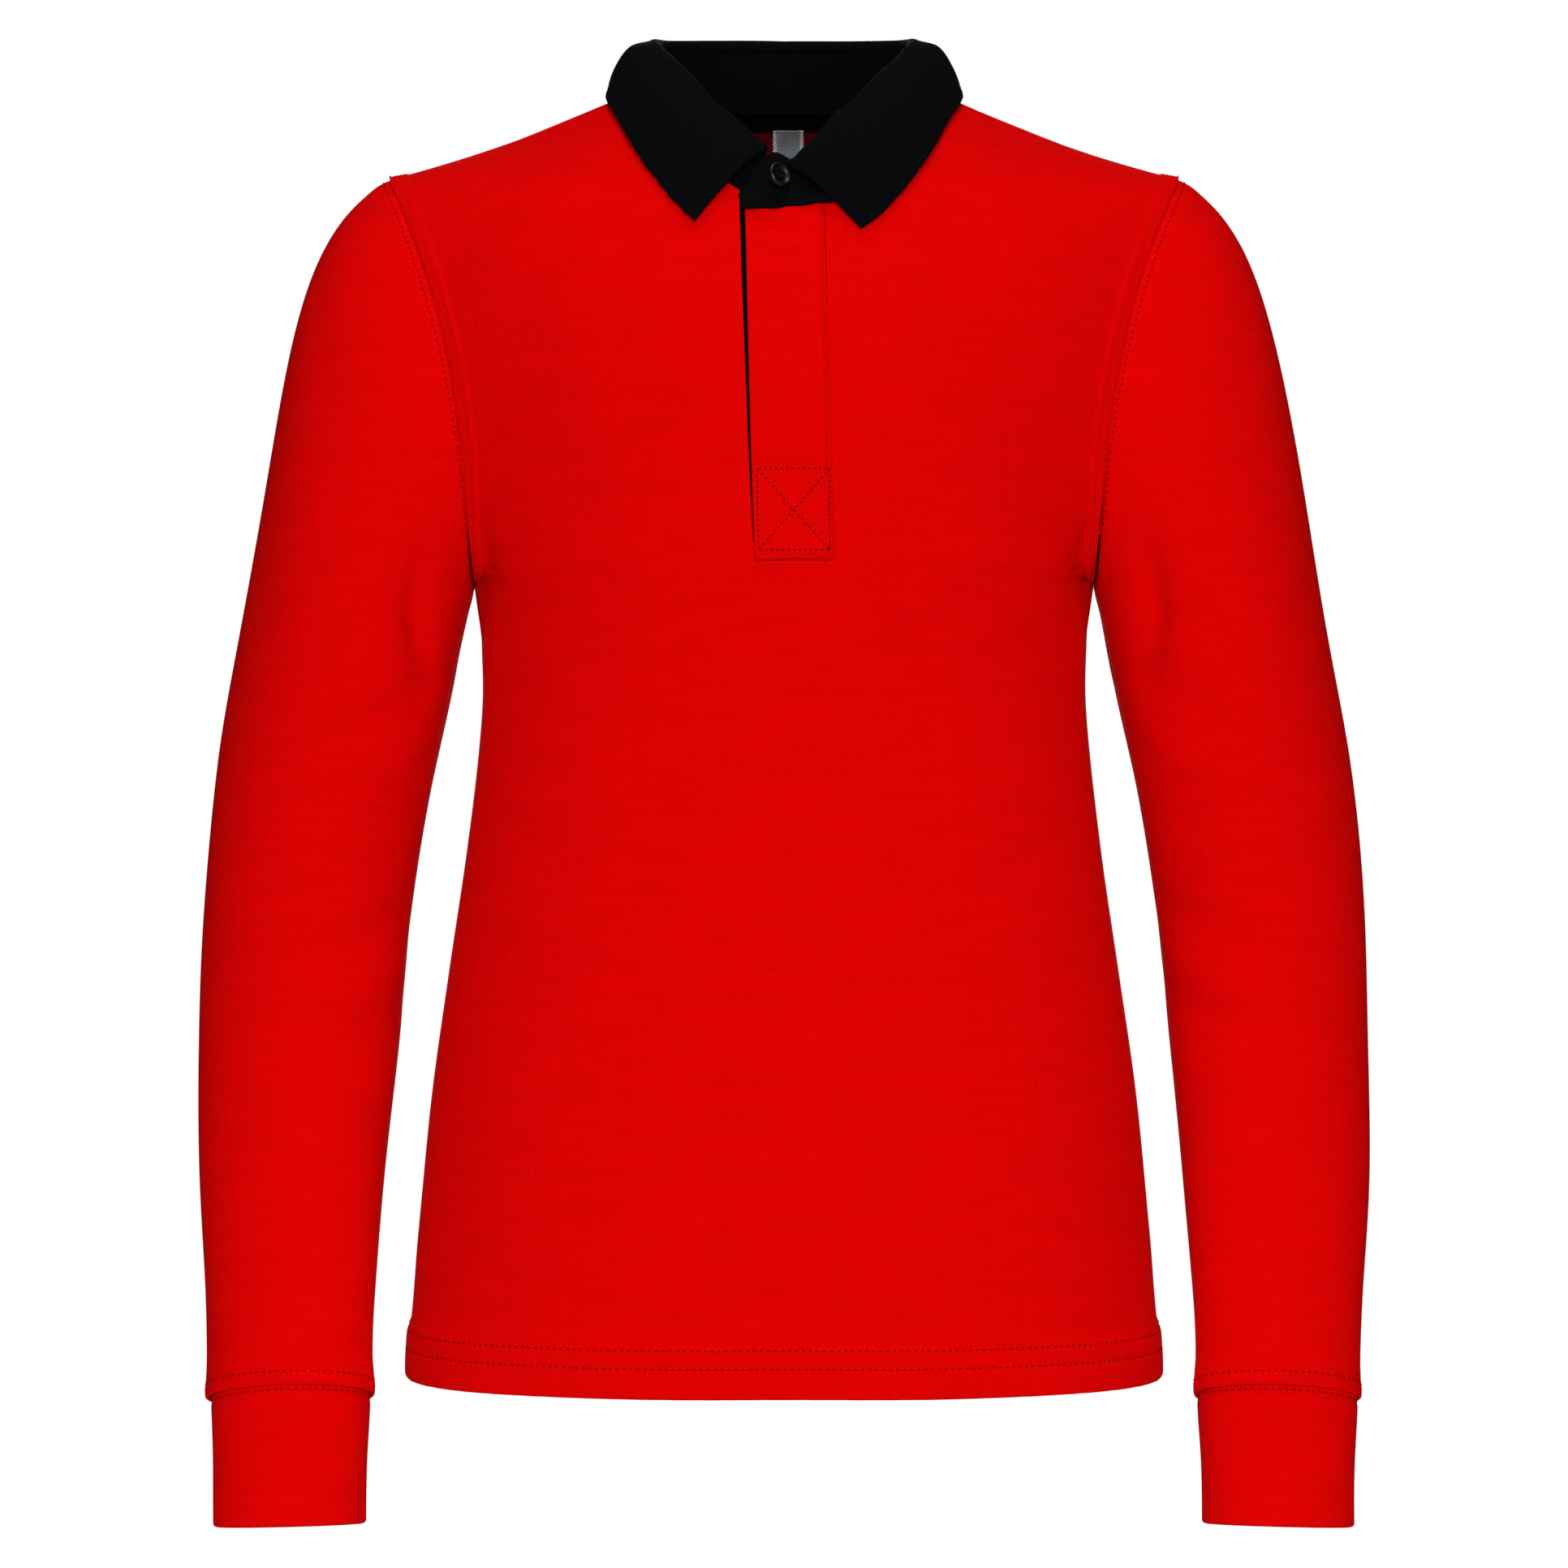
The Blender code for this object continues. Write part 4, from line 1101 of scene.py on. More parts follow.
for arm, flip in (("left", 1), ("right", -1)):
    rows = [[sleeve_point(turn, level) for turn in turns] for level in sleeve_levels]
    across, down_it = lengths(rows)
    ends = down_it[-1]
    rounds = [row[-1] for row in across]
    shift = 0.0 if flip > 0 else CREASE_SHIFT

    def sleeve_relief(r, c, u, v, point):
        seam = rounds[r] - abs(u)
        end = ends[c] - v
        total = creasing(u, point.z + shift, SLEEVE_CREASES) * ease(seam / 0.01 + 0.2)
        total += pressed(seam, UNDERARM_SEAM) + pressed(v, CAP_SWELL)
        total -= CAP_PRESS * (1 - ease(v / 0.0016))
        band = 1 - ease((end - SLEEVE_STITCH_ROW - 0.0003) / 0.0016)
        wave = SLEEVE_END_WAVE * sin(u * 2 * pi / SLEEVE_WAVES_APART)
        total += band * (SLEEVE_END_SWELL + wave) + pressed(end, SLEEVE_END_SEWN)
        return total + SLEEVE_WAVE * sin(u * 55 + flip) * sin(point.z * 41 + 1.7)

    rows, way = raised(rows, arm_middle, sleeve_relief, closed=True)
    for row in rows:
        row[-1] = row[0].copy()
    normals = grid_normals(rows[:3], True)[0]
    tuck = [
        p - (below - p).normalized() * SEAM_TUCK - n * way * TUCK_DEPTH
        for p, below, n in zip(rows[0], rows[1], normals)
    ]
    sleeve_grids[arm] = mirrored(rows, flip)
    turned_in = rolled(([tuck] + rows)[::-1], SLEEVE_ROLL, (8, 5, 2), -way, closed=True)
    panels[f"sleeve_{arm}"] = cloth(
        f"sleeve_{arm}_cloth",
        mirrored(turned_in, flip),
        jersey,
        JERSEY - 0.0005,
        -way * flip,
        closed=True,
    )

    rows = [[cuff_point(turn, height) for turn in turns] for height in cuff_heights]
    half_round = lengths(rows)[0][5][-1]

    def cuff_relief(r, c, u, v, point):
        total = pressed(half_round - abs(u), CUFF_SEAM) + pressed(v, CUFF_TOP_SEWN)
        total -= CUFF_TOP_PRESS * (1 - ease((v - 0.003) / 0.004))
        return total + CUFF_WAVE * sin(u * 60 + flip) * sin(point.z * 90)

    rows, way = raised(rows, arm_middle, cuff_relief, closed=True)
    for row in rows:
        row[-1] = row[0].copy()
    cuff_grids[arm] = mirrored(rows, flip)
    turned_in = rolled(rows[::-1], CUFF_ROLL, (5, 3, 1), -way, closed=True)
    panels[f"cuff_{arm}"] = cloth(
        f"cuff_{arm}_cloth",
        mirrored(turned_in, flip),
        jersey,
        JERSEY - 0.0004,
        -way * flip,
        closed=True,
    )

# ---------------------------------------------------------------- placket

BAND_COLUMNS, BAND_ROWS = 40, 120
BAND_FOOT = 1.033  # the level of the bands' foot
BAND_RISE = 0.0019  # of the folded band over the panel
BAND_ROLL = 0.0008
BAND_TAIL = 0.006  # how far its folded edge goes back behind it
BAND_ROW = Line(0.0022, 0.0004, 0.0008)  # its stitches, from its sewn edge
BOX_FOOT, BOX_HEAD = -0.1915, -0.1590
UNDERLAP_LEFT = (SLIT_LEFT[0] - 0.006, SLIT_LEFT[1] - 0.005)  # x at the neck and at the foot
UNDERLAP_RIGHT = (0.0200, 0.0235)
UNDERLAP_FOOT = BAND_FOOT + 0.012


def band_grid(left, right, columns, rows, foot):
    """A grid over the front between two edges of the placket, from its foot to the neck seam."""
    lines = []
    for i in range(columns + 1):

        def share_of(level):
            return between(slit_share(left, level), slit_share(right, level), i / columns)

        top = neck_level(FRONT, share_of)
        levels = [between(foot, top, r / rows) for r in range(rows + 1)]
        lines.append([body_point(FRONT, share_of(level), level) for level in levels])
    return turned_grid(lines)


def behind_the_front(point):
    """The side of a piece on the front that faces the body."""
    return Vector((point.x, 0, point.z - 0.02))


PLACKET_CREASES = (
    Crease(-0.0120, -0.0560, 0.0080, -0.0660, 0.0045, -0.0015),
    Crease(-0.0080, -0.0520, 0.0120, -0.0590, 0.0045, 0.0009),
    Crease(-0.0100, -0.0900, 0.0100, -0.0960, 0.0070, -0.0004),
)
band_left = tuple(x + BAND_ROLL for x in PLACKET_LEFT)
flat_band = band_grid(band_left, PLACKET_RIGHT, BAND_COLUMNS, BAND_ROWS, BAND_FOOT)
across, up_it = lengths(flat_band)
band_halves = [row[-1] for row in across]


def band_relief(r, c, u, v, point):
    left, right = band_halves[r] + u, band_halves[r] - u
    total = BAND_RISE + creasing(point.x, point.z, PLACKET_CREASES)
    total -= (BAND_RISE - 0.0005) * (1 - ease(right / 0.0030))
    total -= (BAND_RISE - 0.0006) * (1 - ease(v / 0.0018))
    total += pressed(right, BAND_ROW)
    boxed = 1 - ease((point.z - BOX_HEAD) / 0.006)
    total -= 0.0005 * boxed
    total += 0.0004 * ease((point.z + 0.12) / 0.05) * (1 - ease(left / 0.008))
    return total


raised_band, way = raised(flat_band, behind_the_front, band_relief)
folded = []
for row, normals in zip(raised_band, grid_normals(raised_band)):
    out = (row[0] - row[1]).normalized()
    start = half_roll(row[0], out, normals[0] * way, BAND_ROLL)
    folded.append([start[0] - out * BAND_TAIL] + start[:-1] + row)
placket_band = cloth("placket_band", folded, jersey, 0.0006, way)
band_skin = skin_of(raised_band)

under = band_grid(UNDERLAP_LEFT, UNDERLAP_RIGHT, 20, 60, UNDERLAP_FOOT)
under, way = raised(under, behind_the_front, lambda r, c, u, v, p: -JERSEY - 0.0002)
placket_underlap = cloth("placket_underlap", under, twill, 0.0010, way, round_edge=0.0002)

# ---------------------------------------------------------------- collar

Mark = namedtuple("Mark", "way x y z")
Height = namedtuple("Height", "x height")
LEAF_START, LEAF_END = 2.0, 352.2  # degrees round from the middle of the front
LEAF_COLUMNS = 200
LEAF_ROWS = 44
LEAF_TOPSTITCH = 0.0045
LEAF_ROW = Line(LEAF_TOPSTITCH, 0.00030, 0.0009)
SHOULDER_FULLNESS = 0.0030
STAND_COLUMNS = 230
STAND_ROWS = 18
STAND_FOOT_ROUND = 0.0018
STAND_TUCK = 0.0010
STAND_ROW = Line(0.0022, 0.0002, 0.0007)
STAND_FOOT = (0.0097, -0.0521)  # x and height where its foot leaves the seam for the placket
STAND_FOOT_SLOPE = 0.108
STAND_DROP_TURN = 18.0
FRONT_DROP = 0.0042
FRONT_DROP_TURN = 24
TIP_SHIFT, TIP_TURN = 0.0015, 12  # the tip on the button side is nearer the middle
STAND_TOP = (  # the upper end's rounded top: x and height
    Height(-0.0156, -0.0480),
    Height(-0.0149, -0.0436),
    Height(-0.0118, -0.0353),
    Height(-0.0098, -0.0333),
    Height(-0.0046, -0.0303),
    Height(0.0026, -0.0330),
    Height(0.0080, -0.0372),
)
STAND_OVER = 0.0040  # over the body, where it lies on the placket
STAND_PUSH = 1.15  # it is pushed level, and the body slopes
STAND_CROWD = 1.25  # its columns are closer together towards its upper end
METRES_A_DEGREE = 0.00108  # along the neck seam, at the front


def smooth_line(points, count):
    """Points at even steps on a smooth curve through a few points."""
    way, marks = 0.0, []
    for i, point in enumerate(points):
        way += (point - points[i - 1]).length if i else 0
        marks.append(Mark(way, *point))
    return [Vector(along(marks, way * i / count)[1:]) for i in range(count + 1)]


def full_turn(round_it):
    """A turn of 0 to 360 as one of -180 to 180, and whether it is on the upper half."""
    return (round_it, True) if round_it <= 180 else (round_it - 360, False)


def button_side_drop(turn):
    """How much lower the fold is on the button's side of the front than on the other side."""
    return FRONT_DROP * (1 - ease(turn / FRONT_DROP_TURN)) if 0 < turn < FRONT_DROP_TURN else 0.0


def resting(skin, point, height):
    """The place that high over the skin's nearest place to a point."""
    found, normal, _, _ = skin.find_nearest(point)
    if normal.dot(Vector((found.x, found.y, 0.03))) < 0:
        normal = -normal
    return found + normal * height


leaf = []
for i in range(LEAF_COLUMNS + 1):
    turn, is_upper = full_turn(between(LEAF_START, LEAF_END, i / LEAF_COLUMNS))
    start, fold, normal = stand_frame(turn)
    fold.z -= button_side_drop(turn)
    front_edge = place_at(turn)[1]
    if 0 < turn < TIP_TURN:
        front_edge.x -= TIP_SHIFT * (1 - ease(turn / TIP_TURN))
    edge = resting(body_skin, front_edge, TWILL / 2 + LEAF_CLEARANCE)
    up = (fold - start).normalized()
    lift = stand_offset(turn, is_upper) - TWILL / 2
    centre = fold + normal * (lift + FOLD_RADIUS) - up * FOLD_RADIUS
    towards = edge - centre
    sideways, upwards = towards.dot(normal), towards.dot(up)
    last = acos(upwards / sqrt(sideways**2 + upwards**2)) - 0.10
    line = [fold + normal * lift - up * (FOLD_DROP - GAP)]
    for j in range(5):
        angle = last * j / 4
        line.append(centre + (up * sin(angle) - normal * cos(angle)) * FOLD_RADIUS)
    turned = line[-1]
    fullness = 0.0025 + SHOULDER_FULLNESS * exp(-(((abs(turn) - 88) / 34) ** 2))
    bulge = (normal + up * 0.6).normalized() * fullness
    line.append(between(turned, edge, 0.30) + bulge)
    line.append(between(turned, edge, 0.66) + bulge * 0.85)
    line.append(edge)
    leaf.append(smooth_line(line, LEAF_ROWS))
leaf = turned_grid(leaf)


def shortfall(skin, point, least):
    """How much nearer than least a point is to the skin, or how deep it is under it."""
    found, normal, _, away = skin.find_nearest(point)
    if away > 0.008:
        return 0.0
    if normal.dot(Vector((found.x, found.y, 0.03))) < 0:
        normal = -normal
    high = (point - found).dot(normal)
    return max(least - (away if high > 0 else high), 0.0)


def widened(table, rows, columns):
    """A table of numbers, each one the largest of those near it."""
    return [
        [
            max(
                table[y][x]
                for y in range(max(r - rows, 0), min(r + rows + 1, len(table)))
                for x in range(max(c - columns, 0), min(c + columns + 1, len(row)))
            )
            for c in range(len(row))
        ]
        for r, row in enumerate(table)
    ]


def blurred(table, passes):
    """A table of numbers, each one evened out with its neighbours."""
    for _ in range(passes):
        above, below = table[:1] + table[:-1], table[1:] + table[-1:]
        table = [
            [
                (2 * here + before + after + up + down) / 6
                for here, before, after, up, down in zip(
                    row, row[:1] + row[:-1], row[1:] + row[-1:], over, under_it
                )
            ]
            for row, over, under_it in zip(table, above, below)
        ]
    return table


def inside_the_leaf(point):
    """A place between the leaf and the neck."""
    return Vector((point.x * 0.9, point.y * 0.9, point.z - 0.012))


pushes = []
for r, row in enumerate(leaf):
    reach = max((r / LEAF_ROWS - 0.4) / 0.6, 0)
    least = TWILL / 2 + between(0.0026, LEAF_CLEARANCE, reach)
    pushes.append([shortfall(body_skin, p, least) if reach else 0.0 for p in row])
pushes = blurred(widened(pushes, 1, 2), 30)
leaf, leaf_way = raised(leaf, inside_the_leaf, lambda r, c, u, v, p: pushes[r][c])

leaf_across, leaf_down = lengths(leaf)
LEAF_CREASES = (  # across from the middle of the back, and down from the seam inside the fold
    Crease(0.150, 0.012, 0.172, 0.040, 0.0070, 0.0006),
    Crease(-0.160, 0.014, -0.176, 0.040, 0.0070, 0.0006),
    Crease(0.100, 0.010, 0.112, 0.036, 0.0090, -0.0006),
    Crease(-0.108, 0.010, -0.118, 0.036, 0.0090, -0.0006),
)


def leaf_relief(r, c, u, v, point):
    side = min(leaf_across[r][-1] - u, u - leaf_across[r][0])
    edge = min(side, leaf_down[-1][c] - v)
    total = TWILL / 2 + pressed(edge, LEAF_ROW)
    total += creasing(u, v, LEAF_CREASES) + 0.00025 * sin(u * 70) * sin(v * 110)
    return total - 0.0003 * (1 - ease(edge / 0.002))


leaf, _ = raised(leaf, inside_the_leaf, leaf_relief)
collar_leaf = cloth("collar_leaf_cloth", leaf, twill, TWILL, leaf_way, round_edge=0.0006)
leaf_skin = skin_of(leaf)

under_end = degrees(asin(PLACKET_RIGHT[0] / NECK_HALF))
upper_end = degrees(asin(PLACKET_LEFT[0] / NECK_HALF))
stand_span = 360 + under_end - upper_end
stand = []
for i in range(STAND_COLUMNS + 1):
    far = stand_span * (1 - (1 - i / STAND_COLUMNS) ** STAND_CROWD)
    turn, is_upper = under_end - far, False
    if turn < -180:
        turn, is_upper = turn + 360, True
    start, fold, normal = stand_frame(turn)
    out = normal * stand_offset(turn, is_upper)
    up = (fold - start).normalized()
    open_front = 1 - ease((abs(turn + 1.0) - 3) / 6)  # between the leaf's two front edges
    height = (fold - start).length - between(FOLD_DROP, 0.0012, open_front)
    is_front = is_upper and turn < STAND_DROP_TURN
    low, high = 0.0 if is_front else -STAND_TUCK, height - button_side_drop(turn) * is_upper / up.z
    to_end = (stand_span - far) * METRES_A_DEGREE
    if is_front:
        foot_height = STAND_FOOT[1] + (start.x - STAND_FOOT[0]) * STAND_FOOT_SLOPE
        low = min(low, (foot_height - start.z) / up.z)
        top = (along(STAND_TOP, start.x).height - start.z) / up.z
        high = between(top, high, ease((start.x - STAND_TOP[5].x) / 0.005))
    if is_upper and to_end < STAND_FOOT_ROUND:
        low += STAND_FOOT_ROUND * (1 - sqrt(max(1 - (1 - to_end / STAND_FOOT_ROUND) ** 2, 0)))
    line = []
    for r in range(STAND_ROWS + 1):
        above_seam = between(low, high, r / STAND_ROWS)
        point = start + out + up * above_seam
        if is_front:
            least = between(STAND_OVER, STAND_OUT, ease(above_seam / 0.004 + 0.5))
            push = shortfall(body_skin, point, least) * STAND_PUSH
            point += Vector((normal.x, normal.y, 0)).normalized() * push
        line.append(point)
    stand.append(line)
stand = turned_grid(stand)
stand_across, _ = lengths(stand)


def stand_relief(r, c, u, v, point):
    end = stand_across[r][-1] - u
    total = pressed(min(v - STAND_TUCK, end), STAND_ROW)
    return total + 0.0002 * sin(u * 90) - 0.0003 * (1 - ease(min(end, v) / 0.0015))


stand, stand_way = raised(stand, lambda p: Vector((p.x * 0.5, p.y * 0.5, p.z)), stand_relief)
collar_stand = cloth("collar_stand_cloth", stand, twill, TWILL, stand_way, round_edge=0.0006)
stand_skin = skin_of(stand)

# ---------------------------------------------------------------- neck tape and size label

TAPE_UPS = (0.970, 1.012)  # up the back from the underarm
TAPE_ROWS = 6
LABEL_ROWS, LABEL_COLUMNS = 24, 16
LABEL_POINT = 0.20  # the share of its length that its foot's point takes
back_end = neck_edge(BACK, 88)[0]


def inside_back(x_share, up, inwards):
    """A place on the inside of the back: across in shares of the neck, and up from the underarm."""
    end = back_end * x_share
    level = between(1, top_of(BACK, end), up)
    share = between(end * 1.5, end, ease(up))
    point = body_point(BACK, share, level)
    ahead = body_point(BACK, share + 0.01, level) - body_point(BACK, share - 0.01, level)
    above = body_point(BACK, share, level + 0.005) - body_point(BACK, share, level - 0.005)
    normal = ahead.cross(above).normalized()
    if normal.y < 0:
        normal.negate()
    return point - normal * inwards


def behind_the_neck(point):
    """A place outside the back, which the tape and the label turn away from."""
    return Vector((0, 0.2, point.z + 0.1))


tape = []
for up in [r / TAPE_ROWS for r in range(TAPE_ROWS + 1)]:
    inwards = JERSEY + 0.0006 + 0.0014 * ease(up - 0.3)
    level = between(*TAPE_UPS, up)
    tape.append([inside_back(c / 30 - 1, level, inwards) for c in range(61)])
tape_way = facing(tape, behind_the_neck)
neck_tape = cloth("neck_tape_cloth", tape, twill, 0.0008, tape_way, round_edge=0.0002)

label_top = TAPE_UPS[0] + 0.004
per_up = (inside_back(0, label_top, 0) - inside_back(0, label_top - 0.05, 0)).length / 0.05
label = []
for r in range(LABEL_ROWS + 1):
    line = []
    for c in range(LABEL_COLUMNS + 1):
        x = LABEL_WIDTH * (c / LABEL_COLUMNS - 0.5)
        out = abs(2 * x / LABEL_WIDTH)
        down = r / LABEL_ROWS * LABEL_LENGTH * (1 - LABEL_POINT * out)
        fallen = ease(down / LABEL_LENGTH)
        lift = JERSEY + 0.0007 + 0.0016 * fallen**2 + 0.0004 * out**2 * fallen
        spot = inside_back((LABEL_X + x) / NECK_HALF, label_top - down / per_up, lift)
        line.append(Vector((LABEL_X + x, spot.y, spot.z)))
    label.append(line)
size_label = cloth("size_label_cloth", label, satin, 0.0005, facing(label, behind_the_neck))

# ---------------------------------------------------------------- button

BUTTON_RIM = 0.0012
HOLE_RADIUS = 0.0007
HOLE_SPACING = 0.0026
BUTTON_TILT = 0.70  # it hangs from its thread with its left edge lifted
THREAD_RADIUS = 0.00028
THREAD_APART = 0.00025  # each of two strands, from the line between their holes

start, fold, normal = stand_frame(BUTTON_TURN)
button_up = (fold - start).normalized()
height = (fold - start).length - FOLD_DROP
button_middle = start + button_up * height * BUTTON_SHARE + normal * (STAND_OUT + GAP)
button_middle += normal * BUTTON_RADIUS * BUTTON_TILT * 0.8
button_right = button_up.cross(normal)
button_face = (normal + button_right * BUTTON_TILT).normalized()
button_across = button_up.cross(button_face)
button_place = Matrix((button_across, button_up, button_face)).transposed().to_4x4()
button_place.translation = button_middle
bowl = BUTTON_RADIUS - BUTTON_RIM
profile = (  # from the middle of its back, round its rim, to the middle of its face
    (0, 0),
    (BUTTON_RADIUS - 0.0007, 0),
    (BUTTON_RADIUS - 0.0002, 0.0003),
    (BUTTON_RADIUS, 0.0009),
    (BUTTON_RADIUS, BUTTON_THICKNESS - 0.0008),
    (BUTTON_RADIUS - 0.0002, BUTTON_THICKNESS - 0.0003),
    (BUTTON_RADIUS - 0.0006, BUTTON_THICKNESS),
    (bowl, BUTTON_THICKNESS - 0.0001),
    (bowl - 0.0004, BUTTON_THICKNESS - 0.0005),
    (bowl - 0.0010, BUTTON_THICKNESS - 0.0009),
    (0, BUTTON_THICKNESS - 0.0010),
)
bm = bmesh.new()
points = [bm.verts.new((radius, 0, height)) for radius, height in profile]
edges = [bm.edges.new(pair) for pair in zip(points, points[1:])]
bmesh.ops.spin(
    bm,
    geom=points + edges,
    axis=(0, 0, 1),
    cent=(0, 0, 0),
    angle=2 * pi,
    steps=64,
    use_merge=True,
    use_duplicate=False,
)
bmesh.ops.remove_doubles(bm, verts=bm.verts[:], dist=MERGE)
bmesh.ops.recalc_face_normals(bm, faces=bm.faces[:])
bm.transform(button_place)
blank = piece_of("button_blank", bm, plastic)
bm = bmesh.new()
holes = []
for i in range(4):
    angle = pi / 4 + i * pi / 2
    holes.append(Vector((cos(angle), sin(angle), 0)) * HOLE_SPACING / sqrt(2))
    bmesh.ops.create_cone(
        bm,
        cap_ends=True,
        segments=20,
        radius1=HOLE_RADIUS,
        radius2=HOLE_RADIUS,
        depth=0.008,
        matrix=button_place @ Matrix.Translation(holes[-1]),
    )
cutter = piece_of("button_cutter", bm, plastic, smooth=False)
cut = blank.modifiers.new("holes", "BOOLEAN")
cut.operation, cut.object, cut.solver = "DIFFERENCE", cutter, "EXACT"
graph = bpy.context.evaluated_depsgraph_get()
mesh = bpy.data.meshes.new_from_object(blank.evaluated_get(graph))
for done in (blank, cutter):
    bpy.data.objects.remove(done)
mesh.name = "button_disc"
button_disc = linked("button_disc", mesh)
mesh.set_sharp_from_angle(angle=radians(40))
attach(button_disc, "root")

bm = bmesh.new()
for a, b in ((holes[0], holes[1]), (holes[3], holes[2])):
    for apart in (-THREAD_APART, THREAD_APART):
        middle = (a + b) / 2 + Vector((0, apart, BUTTON_THICKNESS - 0.0007))
        turned = (
            button_place
            @ Matrix.Translation(middle)
            @ Matrix.Diagonal((HOLE_SPACING / 2 + 0.0003, THREAD_RADIUS, THREAD_RADIUS, 1))
        )
        bmesh.ops.create_uvsphere(bm, u_segments=12, v_segments=8, radius=1, matrix=turned)
button_thread = piece_of("button_thread", bm, black_thread)

# ---------------------------------------------------------------- stitching

LONG_STITCH = (0.0028, 0.0013)  # pitch and length, on the seams that show their thread most
BOX_STITCH = (0.0022, 0.0012)
STAND_STITCH = (0.0021, 0.0013)
CAP_ROW = (0.0030, False)  # from the armhole, on the sleeve
SLEEVE_END_ROW = (SLEEVE_STITCH_ROW, True)
CUFF_ROW = (CUFF_STITCH_ROW, False)
STAND_STITCH_ROW, STAND_END_ROW = 0.0032, 0.0022  # from the neck seam, and from its upper end
BOX_IN = (0.0018, -0.0022)  # of the box's left and right sides, from the band's
BUTTONHOLE = (-0.0030, 0.0115)  # where it starts to the right of the button, and its length


def row_path(grid, first, last, reach, from_end=False):
    """A path across some columns of a grid, a reach along them from row 0 or from the last row."""
    path = []
    for c in range(first, last + 1):
        line = [row[c] for row in grid]
        if from_end:
            line = line[::-1]
        gone = 0.0
        for a, b in zip(line, line[1:]):
            length = (b - a).length
            if gone + length >= reach:
                path.append(between(a, b, (reach - gone) / max(length, 1e-9)))
                break
            gone += length
    return path


hem_runs, armhole_runs = [], []
for grid in panel_grids.values():
    for up in HEM_STITCH_ROWS:
        hem_runs.append(row_path(grid, 0, len(grid[0]) - 1, up - HEM_ROLL))
    upper = grid[len(lower_levels) + 2 :]
    sideways = turned_grid(upper)
    for from_end in (False, True):
        armhole_runs.append(row_path(sideways, 0, len(upper) - 1, TOPSTITCH, from_end))
hem_stitches = stitches(
    "hem_stitches", hem_runs, painted_shade_red_thread, body_skin, away_from_axis, *LONG_STITCH
)
armhole_stitches = stitches(
    "armhole_stitches", armhole_runs, bright_red_thread, body_skin, away_from_axis
)
sleeve_threads, cuff_threads = {}, {}
for arm, flip in (("left", 1), ("right", -1)):

    def out_of_arm(point):
        middle = arm_middle(point)
        return point - Vector((flip * middle.x, middle.y, middle.z))

    for part, threads, grid, rows in (
        ("sleeve", sleeve_threads, sleeve_grids[arm], (CAP_ROW, SLEEVE_END_ROW)),
        ("cuff", cuff_threads, cuff_grids[arm], (CUFF_ROW,)),
    ):
        runs = [row_path(grid, 0, ARM_COLUMNS, *row) for row in rows]
        threads[arm] = stitches(
            f"{part}_{arm}_stitches", runs, painted_shade_red_thread, skin_of(grid), out_of_arm, *LONG_STITCH
        )


def to_the_front(point):
    """Outwards where the cloth faces the front."""
    return Vector((0, -1, 0))


band_runs = [row_path(turned_grid(raised_band), 0, BAND_ROWS, BAND_ROW.at, True)]
box_left, box_right = PLACKET_LEFT[1] + BOX_IN[0], PLACKET_RIGHT[1] + BOX_IN[1]


def on_band(x, z):
    """A place on the placket straight behind a place on the front."""
    found, _, _, _ = band_skin.ray_cast(Vector((x, -0.3, z)), Vector((0, 1, 0)))
    return found


def band_line(start, end):
    """A straight line on the placket between two corners of its box."""
    line = [on_band(*(between(a, b, i / 40) for a, b in zip(start, end))) for i in range(41)]
    return [point for point in line if point is not None]


corners = (
    (box_left, BOX_FOOT),
    (box_right, BOX_FOOT),
    (box_right, BOX_HEAD),
    (box_left - 0.0006, BOX_HEAD),
)
box_runs = [
    band_line(corners[a], corners[b]) for a, b in ((0, 1), (3, 2), (0, 3), (1, 2), (0, 2), (1, 3))
]
placket_stitches = stitches(
    "placket_stitches", band_runs, bright_red_thread, band_skin, to_the_front
)
box_stitches = stitches(
    "box_stitches", box_runs, painted_shade_red_thread, band_skin, to_the_front, *BOX_STITCH
)

leaf_sideways = turned_grid(leaf)
leaf_runs = [row_path(leaf, 4, LEAF_COLUMNS - 4, LEAF_TOPSTITCH, True)]
for from_end in (False, True):
    leaf_runs.append(
        row_path(leaf_sideways, LEAF_ROWS // 4, LEAF_ROWS - 4, LEAF_TOPSTITCH, from_end)
    )
leaf_stitches = stitches(
    "collar_leaf_stitches",
    leaf_runs,
    black_thread,
    leaf_skin,
    lambda point: Vector((point.x, point.y, 0.05)),
)
stand_runs = [
    row_path(stand, STAND_COLUMNS // 2, STAND_COLUMNS - 4, STAND_STITCH_ROW),
    row_path(turned_grid(stand), 3, STAND_ROWS - 4, STAND_END_ROW, True),
]
for rise in (-0.0005, 0.0005):
    stand_runs.append(
        [
            button_middle
            + button_right * (BUTTONHOLE[0] + BUTTONHOLE[1] * i / 20)
            + button_up * rise
            for i in range(21)
        ]
    )
stand_stitches = stitches(
    "collar_stand_stitches", stand_runs, black_thread, stand_skin, away_from_axis, *STAND_STITCH
)
